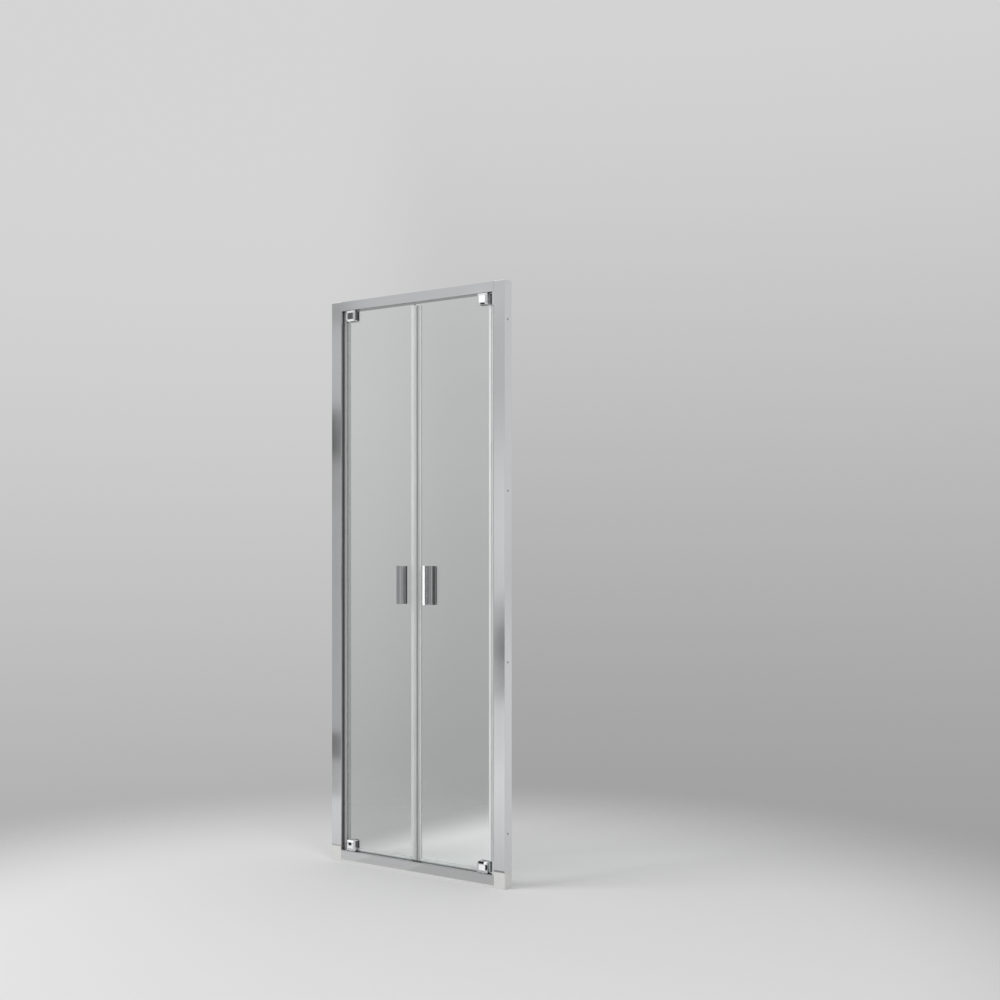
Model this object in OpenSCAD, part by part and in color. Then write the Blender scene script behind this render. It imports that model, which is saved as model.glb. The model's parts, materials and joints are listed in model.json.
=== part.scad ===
// Alcove shower door with two pivoting glass leaves
// Width runs along X, height along Z, and the outside of the shower is towards -Y.
// The origin is the middle of the underside, and Y = 0 is the middle of the glass.

/* [Overall] */
// Width of the whole frame, from wall to wall
frame_w = 730; // [650:5:1000]
// Height of the whole frame
frame_h = 1950; // [1700:10:2100]
// Depth of the frame, front to back
frame_d = 40; // [38:1:60]
// Front face of the frame ahead of the middle of the glass
frame_front = 18; // [17:0.5:22]

/* [Wall and jamb profiles] */
// Width of a wall profile's front face
profile_w = 43.5; // [41:0.5:60]
// Wall thickness of the wall profiles
profile_wall = 1.5; // [1.2:0.1:2.2]
// Width of the jamb profile's box
jamb_w = 30; // [24:1:32]
// Wall thickness of the jamb profiles
jamb_wall = 1.4; // [1.2:0.1:2.2]
// Gap between a jamb profile and the legs of its wall profile
jamb_gap = 0.2; // [0.1:0.05:0.4]
// How far a jamb profile's nose reaches into the doorway
nose_w = 10; // [8:0.5:14]
// Depth of the nose, front to back
nose_d = 12; // [8:0.5:16]
// Front of the nose ahead of the middle of the glass
nose_lead = 1; // [0:0.25:3]
// Radius of the wall fixing holes
wall_hole_r = 3; // [2.5:0.1:4]
// Distance between one wall fixing hole and the next
wall_hole_pitch = 550; // [400:10:560]
// Distance between one adjusting screw and the next
adjust_pitch = 700; // [400:10:750]
// Travel of an adjusting screw in its slot
adjust_travel = 10; // [4:1:14]

/* [Rails] */
// Height of the top rail
top_rail_h = 33.5; // [30:0.5:50]
// Height of the threshold rail above its base strip
threshold_h = 33; // [30:0.5:50]
// Height of the light strip under the threshold rail
base_strip_h = 7; // [4:0.5:12]
// Wall thickness of both rails
rail_wall = 1.5; // [1.2:0.1:2]
// Depth of the slope that drains the threshold into the shower
drain_run = 14; // [8:1:18]
// Fall of that slope
drain_fall = 12; // [4:1:18]
// Radius of the rails' front edges
rail_round = 1; // [0.5:0.1:1.2]
// Radius of the bore of a screw port inside the rails
port_r = 1.9; // [1.6:0.1:2.2]

/* [Caps] */
// Height of the foot caps
foot_cap_h = 52; // [50:1:70]
// Wall thickness of the foot caps
foot_cap_wall = 2.5; // [2:0.1:3.5]
// Height of the shadow gap between a foot cap and its profile
cap_gap = 1.2; // [0.5:0.1:2]
// Thickness of the top caps
top_cap_t = 2; // [1.5:0.1:4]
// Length of the spigots that centre the caps in the jamb profiles
spigot_l = 8; // [5:0.5:12]

/* [Glass] */
// Thickness of the glass
glass_t = 6; // [5:0.5:8]
// Gap from the threshold rail up to the glass
glass_under_gap = 3.5; // [3:0.1:6]
// Gap from the glass up to the top rail
glass_over_gap = 4; // [3:0.1:6]
// Edge of each glass from the seam between the leaves
glass_seam = 11; // [9:0.5:14]
// Bevel along the upright edges of the glass
glass_bevel = 0.6; // [0.3:0.1:1]

/* [Pivot hinges] */
// Pivot axis from the wall profile's inner edge
pivot_offset = 43.4; // [41:0.2:52]
// Pivot axis behind the front face of the frame
pivot_inset = 8; // [7.6:0.1:9]
// Width of a hinge block
block_w = 40; // [36:0.5:44]
// Height of a hinge block
block_h = 37; // [34:0.5:44]
// How far a hinge block stands ahead of the frame
block_proud = 4; // [2:0.5:8]
// Width of the bevel round a hinge block's front
block_bevel = 7.5; // [2:0.5:8]
// Radius of a hinge block's corners
block_round = 4; // [2:0.5:7]
// Thickness of the clamp plate behind the glass
clamp_t = 5; // [4:0.5:8]
// Thickness of the gaskets between metal and glass
gasket_t = 0.5; // [0.3:0.1:1]
// Radius of the pivot pins
pin_r = 3; // [2.5:0.1:3.2]
// Length of a pivot pin inside its hinge block
pin_in_block = 16; // [12:0.5:20]
// Length of a pivot pin below the face of its rail
pin_in_rail = 14; // [10:0.5:16]
// Radial clearance of a pivot pin in its bush
pivot_fit = 0.05; // [0.02:0.01:0.1]
// Wall thickness of the bushes
bush_wall = 2; // [1.5:0.1:2.1]
// Thickness of a bush's flange
flange_t = 1.2; // [0.8:0.1:2]
// Gap between a hinge block and its bush's flange
block_gap = 0.3; // [0.2:0.05:0.6]
// Distance between a hinge's two clamp screws
clamp_screw_pitch = 22; // [20:0.5:24]

/* [Handles] */
// Height of a handle
handle_h = 130; // [110:5:220]
// Height of the handles' middle above the tray
handle_z = 967; // [850:1:1100]
// Nearest face of a handle's fin from the seam
handle_seam = 41; // [38:1:60]
// Width of a handle across its fin and base
handle_w = 43; // [42:1:60]
// Thickness of a handle's fin
fin_t = 12; // [8:0.5:12]
// How far a handle stands off its pad
handle_proud = 24; // [24:0.5:36]
// Thickness of a handle's base
handle_base_t = 6; // [5.5:0.25:6]
// Radius of the finger scoop between fin and base
scoop_r = 16; // [8:0.5:16]
// Radius of a handle's outer edges
handle_round = 1.5; // [0.5:0.1:1.8]
// Distance between a handle's two screws
handle_screw_pitch = 94; // [60:1:96]
// Thickness of the pads between handles and glass
pad_t = 0.8; // [0.5:0.1:1.5]
// Width of the plate behind the glass that a handle's screws go through
back_plate_w = 26; // [22:0.5:30]
// Thickness of that plate
back_plate_t = 4; // [3.5:0.25:6]
// Radius of that plate's corners
back_plate_round = 4; // [2:0.5:8]

/* [Seals] */
// Wall thickness of the clear seals
seal_t = 1; // [0.8:0.05:1.2]
// Outer diameter of the bulb that meets the jamb
bulb_d = 8; // [7:0.25:9]
// Length of the jamb seal's legs along the glass
jamb_seal_leg = 8.5; // [6:0.5:12]
// Length of the left magnet seal's legs along the glass
left_seal_leg = 13; // [8:0.5:20]
// Length of the right magnet seal's legs along the glass
right_seal_leg = 7; // [5:0.5:20]
// Half of the gap between the two magnet seals
seam_half_gap = 0.6; // [0.5:0.05:1]
// How far the magnet seals stop below the top of the glass
magnet_seal_short = 6; // [2:0.5:20]
// Height of the drip seal's legs
drip_leg = 8; // [5:0.5:14]
// Gap between the drip seal's lip and the threshold rail
lip_gap = 0.4; // [0.3:0.05:0.8]

/* [Fasteners] */
// Radius of the screws that hold hinges and handles
bolt_r = 2.5; // [2:0.1:2.6]
// Radius of those screws' heads
bolt_head_r = 4.5; // [4:0.1:4.8]
// Depth of those screws' threads in a hinge block
bolt_depth = 10; // [7:0.5:12]
// Radius of the self-tapping screws in the frame
tapper_r = 1.8; // [1.4:0.1:1.8]
// Radius of the self-tapping screws' heads
tapper_head_r = 3.4; // [3:0.1:3.8]
// Height of the self-tapping screws' heads
tapper_head_h = 2; // [1.5:0.1:2.4]
// Length of a self-tapping screw in a rail's port
tapper_l = 16; // [8:1:30]

/* [Hidden] */
$fn = 48;

// Everything on one side is drawn for the left, and mirrored for the right
LEFT = 0;
RIGHT = 1;

// Clearances and small parts that need no setting of their own
cut = 1;
fit = 0.1;
thread_fit = 0.05;
seal_grip = 0.15;
seal_gap = 0.3;
bulb_sink = 0.4;
slot_clear = 0.4;
cross_w = 0.8;

// Frame
front_y = -frame_front;
back_y = frame_d - frame_front;
wall_x = -frame_w / 2;
inner_x = wall_x + profile_w;
threshold_z = base_strip_h + threshold_h;
top_rail_z = frame_h - top_rail_h;
profile_top_z = frame_h - top_cap_t;
fixing_z = (foot_cap_h + profile_top_z) / 2;
jamb_x = inner_x - jamb_w;
jamb_front_y = front_y + profile_wall + jamb_gap;
jamb_back_y = back_y - profile_wall - jamb_gap;
nose_y = -nose_lead;
adjust_x = inner_x - jamb_w / 2;

// Screw ports inside the rails
port_wall = 1.3;
port_out_r = port_r + port_wall;
port_mouth = 1.6;
port_sink = 0.5;
port_ys = [front_y + frame_d / 4, back_y - frame_d / 5];
threshold_port_z = base_strip_h + rail_wall + port_out_r - port_sink;
driver_r = tapper_head_r + 0.8;
top_port_z = profile_top_z - driver_r - 3;

// Glass
glass_half = glass_t / 2;
bulb_x = inner_x + nose_w + seal_gap + bulb_d / 2;
jamb_web_x = bulb_x + bulb_d / 2 - bulb_sink;
glass_jamb_x = jamb_web_x + seal_t + seal_grip;
glass_seam_x = -glass_seam;
glass_bottom_z = threshold_z + glass_under_gap;
glass_top_z = top_rail_z - glass_over_gap;
seal_in = glass_half + seal_grip;
seal_out = seal_in + seal_t;

// Pivots: a hinge is drawn from the face of its rail, on the pivot axis
pivot_x = inner_x + pivot_offset;
pivot_y = front_y + pivot_inset;
block_z = flange_t + block_gap;
block_front = front_y - block_proud - pivot_y;
block_back = -glass_half - gasket_t - pivot_y;
clamp_front = glass_half + gasket_t - pivot_y;
glass_mid = -pivot_y;
block_mid_z = block_z + block_h / 2;
clamp_bevel = 1;
screw_x = clamp_screw_pitch / 2;
glass_hole_r = bolt_r + 2.5;
sleeve_fit = 0.2;
sleeve_r = glass_hole_r - sleeve_fit;
bore_r = bolt_r + fit;
socket_r = bolt_r * 0.7;
grub_socket_r = bolt_r * 0.55;
bush_bore_r = pin_r + pivot_fit;
bush_r = bush_bore_r + bush_wall;
flange_r = bush_r + 1.2;
pin_bevel = 0.6;
grub_l = 6;
grub_z = block_z + block_h - grub_l - 1;

// Handles: a handle is drawn from its pad, with its fin nearest the seam
handle_y = glass_half + pad_t;
handle_hole_r = bolt_r + 3.5;
handle_mid = handle_w / 2;
blind_depth = handle_base_t - 1.2;
back_plate_h = handle_screw_pitch + 2 * handle_hole_r + 8;
bolt_sink = bolt_head_r - bolt_r;
pad_edge = 1;

// Magnet seals
magnet_web_x = glass_seam_x + seal_grip;
pocket_wall = 0.9;
pocket_half = 4.6;
magnet_clear = 0.2;

// Draws a section given as [Y, Z] from one X to another
module along_x(from, to) translate([from, 0, 0]) rotate([90, 0, 90]) linear_extrude(to - from) children();

// Draws a section given as [X, Z] from one Y to another
module along_y(from, to) translate([0, to, 0]) rotate([90, 0, 0]) linear_extrude(to - from) children();

// Draws a section given as [X, Y] from one Z to another
module along_z(from, to) translate([0, 0, from]) linear_extrude(to - from) children();

// Keeps a left-hand piece, or mirrors it to the right
module on_side(side) {
    if (side == LEFT) children();
    else mirror([1, 0, 0]) children();
}

// Puts a hinge's piece at the threshold, or upside down at the top rail
module at_hinge(top) {
    if (top) translate([pivot_x, pivot_y, top_rail_z]) mirror([0, 0, 1]) children();
    else translate([pivot_x, pivot_y, threshold_z]) children();
}

// Rectangle between two corners
module box_2d(low, high) translate(low) square(high - low);

// Rectangle between two corners with round corners
module round_box_2d(low, high, r) {
    box_2d([low[0] + r, low[1]], [high[0] - r, high[1]]);
    box_2d([low[0], low[1] + r], [high[0], high[1] - r]);
    for (x = [low[0] + r, high[0] - r], y = [low[1] + r, high[1] - r]) translate([x, y]) circle(r);
}

// What comes off a square corner to round it; the corner lies towards the given directions
module corner_cut_2d(at, toward, r) {
    middle = [at[0] - toward[0] * r, at[1] - toward[1] * r];
    difference() {
        box_2d(
            [min(at[0], middle[0]), min(at[1], middle[1])],
            [max(at[0], middle[0]), max(at[1], middle[1])]
        );
        translate(middle) circle(r);
    }
}

// Pan-headed self-tapping screw along +X, with the underside of its head at the origin
module tapper(length) rotate([0, 90, 0]) difference() {
    union() {
        translate([0, 0, -tapper_head_h]) cylinder(r = tapper_head_r, h = tapper_head_h);
        cylinder(r = tapper_r, h = length - tapper_r);
        translate([0, 0, length - tapper_r]) cylinder(r1 = tapper_r, r2 = tapper_r / 4, h = tapper_r);
    }
    for (turn = [0, 90]) rotate([0, 0, turn]) translate([-tapper_r, -cross_w / 2, -tapper_head_h - cut])
        cube([2 * tapper_r, cross_w, cut + tapper_head_h / 2]);
}

// Countersunk screw with a hexagonal socket, from its tip to the top of its head along +Z
module countersunk(tip, head) difference() {
    union() {
        translate([0, 0, tip]) cylinder(r = bolt_r, h = head - bolt_sink - tip);
        translate([0, 0, head - bolt_sink]) cylinder(r1 = bolt_r, r2 = bolt_head_r, h = bolt_sink);
    }
    translate([0, 0, head - bolt_sink]) cylinder(r = socket_r, h = bolt_sink + cut, $fn = 6);
}

// Wall profile: a U channel that opens towards the doorway
module wall_profile_2d() difference() {
    box_2d([wall_x, front_y], [inner_x, back_y]);
    box_2d([wall_x + profile_wall, front_y + profile_wall], [inner_x + cut, back_y - profile_wall]);
    corner_cut_2d([inner_x, front_y], [1, -1], profile_wall / 2);
    corner_cut_2d([inner_x, back_y], [1, 1], profile_wall / 2);
}

module wall_profile(side) color("gainsboro") on_side(side) difference() {
    along_z(foot_cap_h, profile_top_z) wall_profile_2d();
    for (step = [-1.5 : 1 : 1.5])
        translate([wall_x - cut, 0, fixing_z + step * wall_hole_pitch])
            rotate([0, 90, 0]) cylinder(r = wall_hole_r, h = profile_wall + 2 * cut);
    for (step = [-1 : 1]) translate([adjust_x, back_y - profile_wall - cut, fixing_z + step * adjust_pitch])
        rotate([-90, 0, 0]) linear_extrude(profile_wall + 2 * cut) slot_2d();
}

// Slot that lets the jamb profile slide in and out on its screws
module slot_2d() {
    r = tapper_r + slot_clear;
    square([adjust_travel, 2 * r], center = true);
    for (x = [-adjust_travel / 2, adjust_travel / 2]) translate([x, 0]) circle(r);
}

// Jamb profile: a box that slides in the wall profile
module jamb_box_2d() difference() {
    box_2d([jamb_x, jamb_front_y], [inner_x, jamb_back_y]);
    box_2d([jamb_x + jamb_wall, jamb_front_y + jamb_wall], [inner_x - jamb_wall, jamb_back_y - jamb_wall]);
}

// Nose of the jamb profile, which the bulb seal closes against
module nose_2d() difference() {
    box_2d([inner_x, nose_y], [inner_x + nose_w, nose_y + nose_d]);
    box_2d([inner_x - cut, nose_y + jamb_wall], [inner_x + nose_w - jamb_wall, nose_y + nose_d - jamb_wall]);
    corner_cut_2d([inner_x + nose_w, nose_y], [1, -1], jamb_wall);
    corner_cut_2d([inner_x + nose_w, nose_y + nose_d], [1, 1], jamb_wall);
}

module jamb_profile(side) color("gainsboro") on_side(side) difference() {
    union() {
        along_z(foot_cap_h, profile_top_z) jamb_box_2d();
        along_z(threshold_z + seal_gap, top_rail_z - seal_gap) nose_2d();
    }
    for (step = [-1 : 1]) translate([adjust_x, jamb_back_y - jamb_wall - cut, fixing_z + step * adjust_pitch])
        rotate([-90, 0, 0]) cylinder(r = tapper_r + thread_fit, h = jamb_wall + 2 * cut);
    for (y = port_ys) translate([0, y, top_port_z]) rotate([0, 90, 0]) {
        translate([0, 0, inner_x - jamb_wall - cut]) cylinder(r = tapper_r + fit, h = jamb_wall + 2 * cut);
        translate([0, 0, jamb_x - cut]) cylinder(r = driver_r, h = jamb_wall + 2 * cut);
    }
}

module adjusting_screws(side) color("silver") on_side(side)
    for (step = [-1 : 1]) translate([adjust_x, back_y, fixing_z + step * adjust_pitch])
        rotate([0, 0, -90]) tapper(profile_wall + jamb_gap + jamb_wall + 4);

// Top rail: a hollow section whose screw ports hang from its top wall
module top_rail_2d() difference() {
    box_2d([front_y, top_rail_z], [back_y, frame_h]);
    difference() {
        box_2d([front_y + rail_wall, top_rail_z + rail_wall], [back_y - rail_wall, frame_h - rail_wall]);
        for (y = port_ys) {
            translate([y, top_port_z]) circle(port_out_r);
            box_2d([y - rail_wall / 2, top_port_z], [y + rail_wall / 2, frame_h - rail_wall + cut]);
        }
    }
    for (y = port_ys) translate([y, top_port_z]) {
        circle(port_r);
        box_2d([-port_mouth / 2, -port_out_r - cut], [port_mouth / 2, 0]);
    }
    corner_cut_2d([front_y, top_rail_z], [-1, -1], rail_round);
    corner_cut_2d([front_y, frame_h], [-1, 1], rail_round);
}

module top_rail() color("gainsboro") difference() {
    along_x(inner_x, -inner_x) top_rail_2d();
    for (side = [LEFT, RIGHT]) on_side(side) at_hinge(true)
        translate([0, 0, -rail_wall - cut]) cylinder(r = bush_r + fit, h = rail_wall + 2 * cut);
}

// Threshold rail, with a slope that drains into the shower
module threshold_2d() {
    slope = drain_fall / drain_run;
    lean = sqrt(1 + slope * slope);
    low = base_strip_h;
    slope_y = back_y - drain_run;
    inner_slope_y = slope_y - rail_wall * (lean - 1) / slope;
    inner_back = back_y - rail_wall;
    inner_back_z = threshold_z - (inner_back - slope_y) * slope - rail_wall * lean;
    difference() {
        polygon([
            [front_y, low], [back_y, low], [back_y, threshold_z - drain_fall],
            [slope_y, threshold_z], [front_y, threshold_z]
        ]);
        difference() {
            polygon([
                [front_y + rail_wall, low + rail_wall], [inner_back, low + rail_wall],
                [inner_back, inner_back_z], [inner_slope_y, threshold_z - rail_wall],
                [front_y + rail_wall, threshold_z - rail_wall]
            ]);
            for (y = port_ys) translate([y, threshold_port_z]) circle(port_out_r);
        }
        for (y = port_ys) translate([y, threshold_port_z]) {
            circle(port_r);
            box_2d([-port_mouth / 2, 0], [port_mouth / 2, port_out_r + cut]);
        }
        corner_cut_2d([front_y, threshold_z], [-1, 1], rail_round);
    }
}

module threshold_rail() color("gainsboro") difference() {
    along_x(inner_x, -inner_x) threshold_2d();
    for (side = [LEFT, RIGHT]) on_side(side) at_hinge(false)
        translate([0, 0, -rail_wall - cut]) cylinder(r = bush_r + fit, h = rail_wall + 2 * cut);
}

// Base strip: a light ribbed sole that beds the threshold on the tray
module threshold_base_strip() color("whitesmoke") {
    rib = 3;
    groove_d = base_strip_h / 3;
    bays = 4;
    bay = (frame_d - rib) / bays;
    along_x(inner_x, -inner_x) difference() {
        box_2d([front_y, 0], [back_y, base_strip_h]);
        for (step = [0 : bays - 1])
            box_2d([front_y + rib + step * bay, -cut], [front_y + (step + 1) * bay, groove_d]);
    }
}

// Spigot that fits inside the jamb profile's box
module spigot_2d() {
    inset = jamb_wall + fit;
    low = [jamb_x + inset, jamb_front_y + inset];
    high = [inner_x - inset, jamb_back_y - inset];
    w = foot_cap_wall;
    difference() {
        box_2d(low, high);
        box_2d([low[0] + w, low[1] + w], [high[0] - w, high[1] - w]);
    }
}

// Foot cap: a moulded shoe that carries the profiles on a step and joins the threshold
module foot_cap(side) color("whitesmoke") on_side(side) difference() {
    w = foot_cap_wall;
    inset = profile_wall / 2;
    union() {
        difference() {
            union() {
                along_z(0, foot_cap_h - cap_gap) difference() {
                    box_2d([wall_x, front_y], [inner_x, back_y]);
                    corner_cut_2d([inner_x, front_y], [1, -1], profile_wall / 2);
                }
                along_z(foot_cap_h - cap_gap - w / 4, foot_cap_h)
                    box_2d([wall_x + inset, front_y + inset], [inner_x - inset, back_y - inset]);
            }
            along_z(-cut, foot_cap_h - w) box_2d([wall_x + w, front_y + w], [inner_x - w, back_y - w]);
        }
        along_z(foot_cap_h - w / 2, foot_cap_h + spigot_l) spigot_2d();
    }
    for (y = port_ys) translate([inner_x - w - cut, y, threshold_port_z])
        rotate([0, 90, 0]) cylinder(r = tapper_r + fit, h = w + 2 * cut);
}

module top_cap(side) color("whitesmoke") on_side(side) {
    along_z(profile_top_z, frame_h) difference() {
        box_2d([wall_x, front_y], [inner_x, back_y]);
        corner_cut_2d([inner_x, front_y], [1, -1], profile_wall / 2);
    }
    difference() {
        along_z(profile_top_z - spigot_l, profile_top_z) spigot_2d();
        for (y = port_ys) translate([inner_x - jamb_wall - foot_cap_wall - 2 * cut, y, top_port_z])
            rotate([0, 90, 0]) cylinder(r = driver_r, h = foot_cap_wall + 2 * cut);
    }
}

module top_rail_screws() color("silver") for (side = [LEFT, RIGHT], y = port_ys)
    on_side(side) translate([inner_x - jamb_wall, y, top_port_z]) tapper(jamb_wall + tapper_l);

module threshold_screws() color("silver") for (side = [LEFT, RIGHT], y = port_ys)
    on_side(side) translate([inner_x - foot_cap_wall, y, threshold_port_z]) tapper(foot_cap_wall + tapper_l);

// Bush: a flanged plastic sleeve that sits in the rail and carries the pin
module bush(side, top) color("white") on_side(side) at_hinge(top) difference() {
    union() {
        cylinder(r = flange_r, h = flange_t);
        translate([0, 0, -pin_in_rail - cut]) cylinder(r = bush_r, h = pin_in_rail + cut + flange_t / 2);
    }
    translate([0, 0, -pin_in_rail - 2 * cut]) cylinder(r = bush_bore_r, h = pin_in_rail + flange_t + 3 * cut);
}

// Glass, drilled for its hinges and its handles
module glass(side) color("lightcyan", 0.4) on_side(side) difference() {
    along_z(glass_bottom_z, glass_top_z) polygon([
        [glass_jamb_x, -glass_half + glass_bevel], [glass_jamb_x + glass_bevel, -glass_half],
        [glass_seam_x - glass_bevel, -glass_half], [glass_seam_x, -glass_half + glass_bevel],
        [glass_seam_x, glass_half - glass_bevel], [glass_seam_x - glass_bevel, glass_half],
        [glass_jamb_x + glass_bevel, glass_half], [glass_jamb_x, glass_half - glass_bevel]
    ]);
    for (top = [true, false], x = [-screw_x, screw_x]) at_hinge(top)
        translate([x, glass_mid - glass_t, block_mid_z])
            rotate([-90, 0, 0]) cylinder(r = glass_hole_r, h = 2 * glass_t);
    for (z = [-handle_screw_pitch / 2, handle_screw_pitch / 2])
        translate([-handle_seam - handle_mid, -glass_t, handle_z + z])
            rotate([-90, 0, 0]) cylinder(r = handle_hole_r, h = 2 * glass_t);
}

// Hinge block: bevelled all round its front, bored for the pin, the grub screw and the clamp screws
module hinge_block(side, top) color("silver") on_side(side) at_hinge(top) {
    half = block_w / 2;
    top_z = block_z + block_h;
    bevel_d = block_bevel * 0.5;
    difference() {
        intersection() {
            along_y(block_front, block_back) round_box_2d([-half, block_z], [half, top_z], block_round);
            along_z(block_z - cut, top_z + cut) polygon([
                [-half - cut, block_back + cut], [-half - cut, block_front + bevel_d],
                [-half, block_front + bevel_d], [-half + block_bevel, block_front],
                [-half + block_bevel, block_front - cut], [half - block_bevel, block_front - cut],
                [half - block_bevel, block_front], [half, block_front + bevel_d],
                [half + cut, block_front + bevel_d], [half + cut, block_back + cut]
            ]);
            along_x(-half - cut, half + cut) polygon([
                [block_back + cut, block_z - cut], [block_front + bevel_d, block_z - cut],
                [block_front + bevel_d, block_z], [block_front, block_z + block_bevel],
                [block_front - cut, block_z + block_bevel], [block_front - cut, top_z - block_bevel],
                [block_front, top_z - block_bevel], [block_front + bevel_d, top_z],
                [block_front + bevel_d, top_z + cut], [block_back + cut, top_z + cut]
            ]);
        }
        translate([0, 0, block_z - cut]) cylinder(r = pin_r + thread_fit, h = pin_in_block + cut - block_z);
        translate([0, 0, block_z]) cylinder(r = bore_r, h = block_h + cut);
        for (x = [-screw_x, screw_x]) translate([x, block_back - bolt_depth - cut, block_mid_z])
            rotate([-90, 0, 0]) cylinder(r = bolt_r + thread_fit, h = bolt_depth + 2 * cut);
    }
}

// Clamp plate behind the glass, countersunk for its screws
module hinge_clamp(side, top) color("silver") on_side(side) at_hinge(top) {
    half = block_w / 2;
    top_z = block_z + block_h;
    difference() {
        intersection() {
            along_y(clamp_front, clamp_front + clamp_t)
                round_box_2d([-half, block_z], [half, top_z], block_round);
            along_z(block_z - cut, top_z + cut) polygon([
                [-half, clamp_front - cut], [half, clamp_front - cut],
                [half, clamp_front + clamp_t - clamp_bevel], [half - clamp_bevel, clamp_front + clamp_t],
                [-half + clamp_bevel, clamp_front + clamp_t], [-half, clamp_front + clamp_t - clamp_bevel]
            ]);
        }
        for (x = [-screw_x, screw_x]) translate([x, clamp_front, block_mid_z]) rotate([-90, 0, 0]) {
            translate([0, 0, -cut]) cylinder(r = bore_r, h = clamp_t + 2 * cut);
            translate([0, 0, clamp_t - bolt_sink])
                cylinder(r1 = bore_r, r2 = bolt_head_r + fit, h = bolt_sink + fit / 2);
        }
    }
}

// Pivot pin, fixed in the block and turning in the bush
module pivot_pin(side, top) color("lightgray") on_side(side) at_hinge(top)
    translate([0, 0, -pin_in_rail]) {
        cylinder(r1 = pin_r - pin_bevel, r2 = pin_r, h = pin_bevel);
        translate([0, 0, pin_bevel]) cylinder(r = pin_r, h = pin_in_rail + pin_in_block - pin_bevel - fit);
    }

// Gaskets on both sides of the glass, with sleeves that keep the screws off the glass
module hinge_gaskets(side, top) color("lightgray") on_side(side) at_hinge(top) {
    half = block_w / 2 - pad_edge;
    low = block_z + pad_edge + max(0, glass_under_gap - block_z);
    high = block_z + block_h - pad_edge;
    for (y = [block_back, clamp_front - gasket_t]) difference() {
        along_y(y, y + gasket_t) box_2d([-half, low], [half, high]);
        for (x = [-screw_x, screw_x]) translate([x, y - cut, block_mid_z])
            rotate([-90, 0, 0]) cylinder(r = sleeve_r - pad_edge, h = gasket_t + 2 * cut);
    }
    for (x = [-screw_x, screw_x]) translate([x, glass_mid - glass_half, block_mid_z]) rotate([-90, 0, 0])
        difference() {
            cylinder(r = sleeve_r, h = glass_t);
            translate([0, 0, -cut]) cylinder(r = bore_r, h = glass_t + 2 * cut);
        }
}

// Two countersunk clamp screws, and the grub screw that locks the pin
module hinge_screws(side, top) color("silver") on_side(side) at_hinge(top) {
    for (x = [-screw_x, screw_x]) translate([x, 0, block_mid_z]) rotate([-90, 0, 0])
        countersunk(block_back - bolt_depth, clamp_front + clamp_t);
    translate([0, 0, grub_z]) difference() {
        cylinder(r = bolt_r, h = grub_l);
        translate([0, 0, grub_l / 2]) cylinder(r = grub_socket_r, h = grub_l, $fn = 6);
    }
}

// Handle section as [distance from the fin's near face, distance off the pad]
module handle_2d() {
    base_top = handle_base_t;
    r = handle_round;
    difference() {
        union() {
            box_2d([0, 0], [fin_t, handle_proud]);
            box_2d([0, 0], [handle_w, base_top]);
            difference() {
                box_2d([fin_t - r, base_top - r], [fin_t + scoop_r, base_top + scoop_r]);
                translate([fin_t + scoop_r, base_top + scoop_r]) circle(scoop_r, $fn = 96);
            }
        }
        corner_cut_2d([0, handle_proud], [-1, 1], r);
        corner_cut_2d([fin_t, handle_proud], [1, 1], r);
        corner_cut_2d([handle_w, base_top], [1, 1], r);
    }
}

// Handle on the outside, with blind bores for the screws that come through the glass
module handle(side) color("silver") on_side(side)
    translate([-handle_seam, -handle_y, handle_z]) mirror([1, 0, 0]) mirror([0, 1, 0]) difference() {
        intersection() {
            along_z(-handle_h / 2, handle_h / 2) handle_2d();
            along_y(-cut, handle_proud + cut)
                round_box_2d([0, -handle_h / 2], [handle_w, handle_h / 2], handle_round);
        }
        for (z = [-handle_screw_pitch / 2, handle_screw_pitch / 2])
            translate([handle_mid, -cut, z]) rotate([-90, 0, 0])
                cylinder(r = bolt_r + thread_fit, h = cut + blind_depth);
    }

// Slim plate behind the glass, countersunk for the handle's screws
module back_plate(side) color("silver") on_side(side)
    translate([-handle_seam - handle_mid, handle_y, handle_z]) difference() {
        half = back_plate_w / 2;
        intersection() {
            along_y(0, back_plate_t)
                round_box_2d([-half, -back_plate_h / 2], [half, back_plate_h / 2], back_plate_round);
            along_z(-back_plate_h, back_plate_h) polygon([
                [-half, -cut], [half, -cut], [half, back_plate_t - clamp_bevel],
                [half - clamp_bevel, back_plate_t], [-half + clamp_bevel, back_plate_t],
                [-half, back_plate_t - clamp_bevel]
            ]);
        }
        for (z = [-handle_screw_pitch / 2, handle_screw_pitch / 2]) translate([0, 0, z]) rotate([-90, 0, 0]) {
            translate([0, 0, -cut]) cylinder(r = bore_r, h = back_plate_t + 2 * cut);
            translate([0, 0, back_plate_t - bolt_sink])
                cylinder(r1 = bore_r, r2 = bolt_head_r + fit, h = bolt_sink + fit / 2);
        }
    }

// Pads under a handle and its back plate, with sleeves in the holes of the glass
module handle_pads(side) color("lightgray") on_side(side)
    translate([-handle_seam - handle_mid, 0, handle_z]) {
        screws = [-handle_screw_pitch / 2, handle_screw_pitch / 2];
        for (pad = [[-handle_y, handle_w, handle_h], [glass_half, back_plate_w, back_plate_h]]) difference() {
            half = [pad[1] / 2 - pad_edge, pad[2] / 2 - pad_edge];
            along_y(pad[0], pad[0] + pad_t) box_2d(-half, half);
            for (z = screws) translate([0, pad[0] - cut, z])
                rotate([-90, 0, 0]) cylinder(r = handle_hole_r - pad_edge, h = pad_t + 2 * cut);
        }
        for (z = screws) translate([0, -glass_half, z]) rotate([-90, 0, 0]) difference() {
            cylinder(r = handle_hole_r - sleeve_fit, h = glass_t);
            translate([0, 0, -cut]) cylinder(r = bore_r, h = glass_t + 2 * cut);
        }
    }

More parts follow.
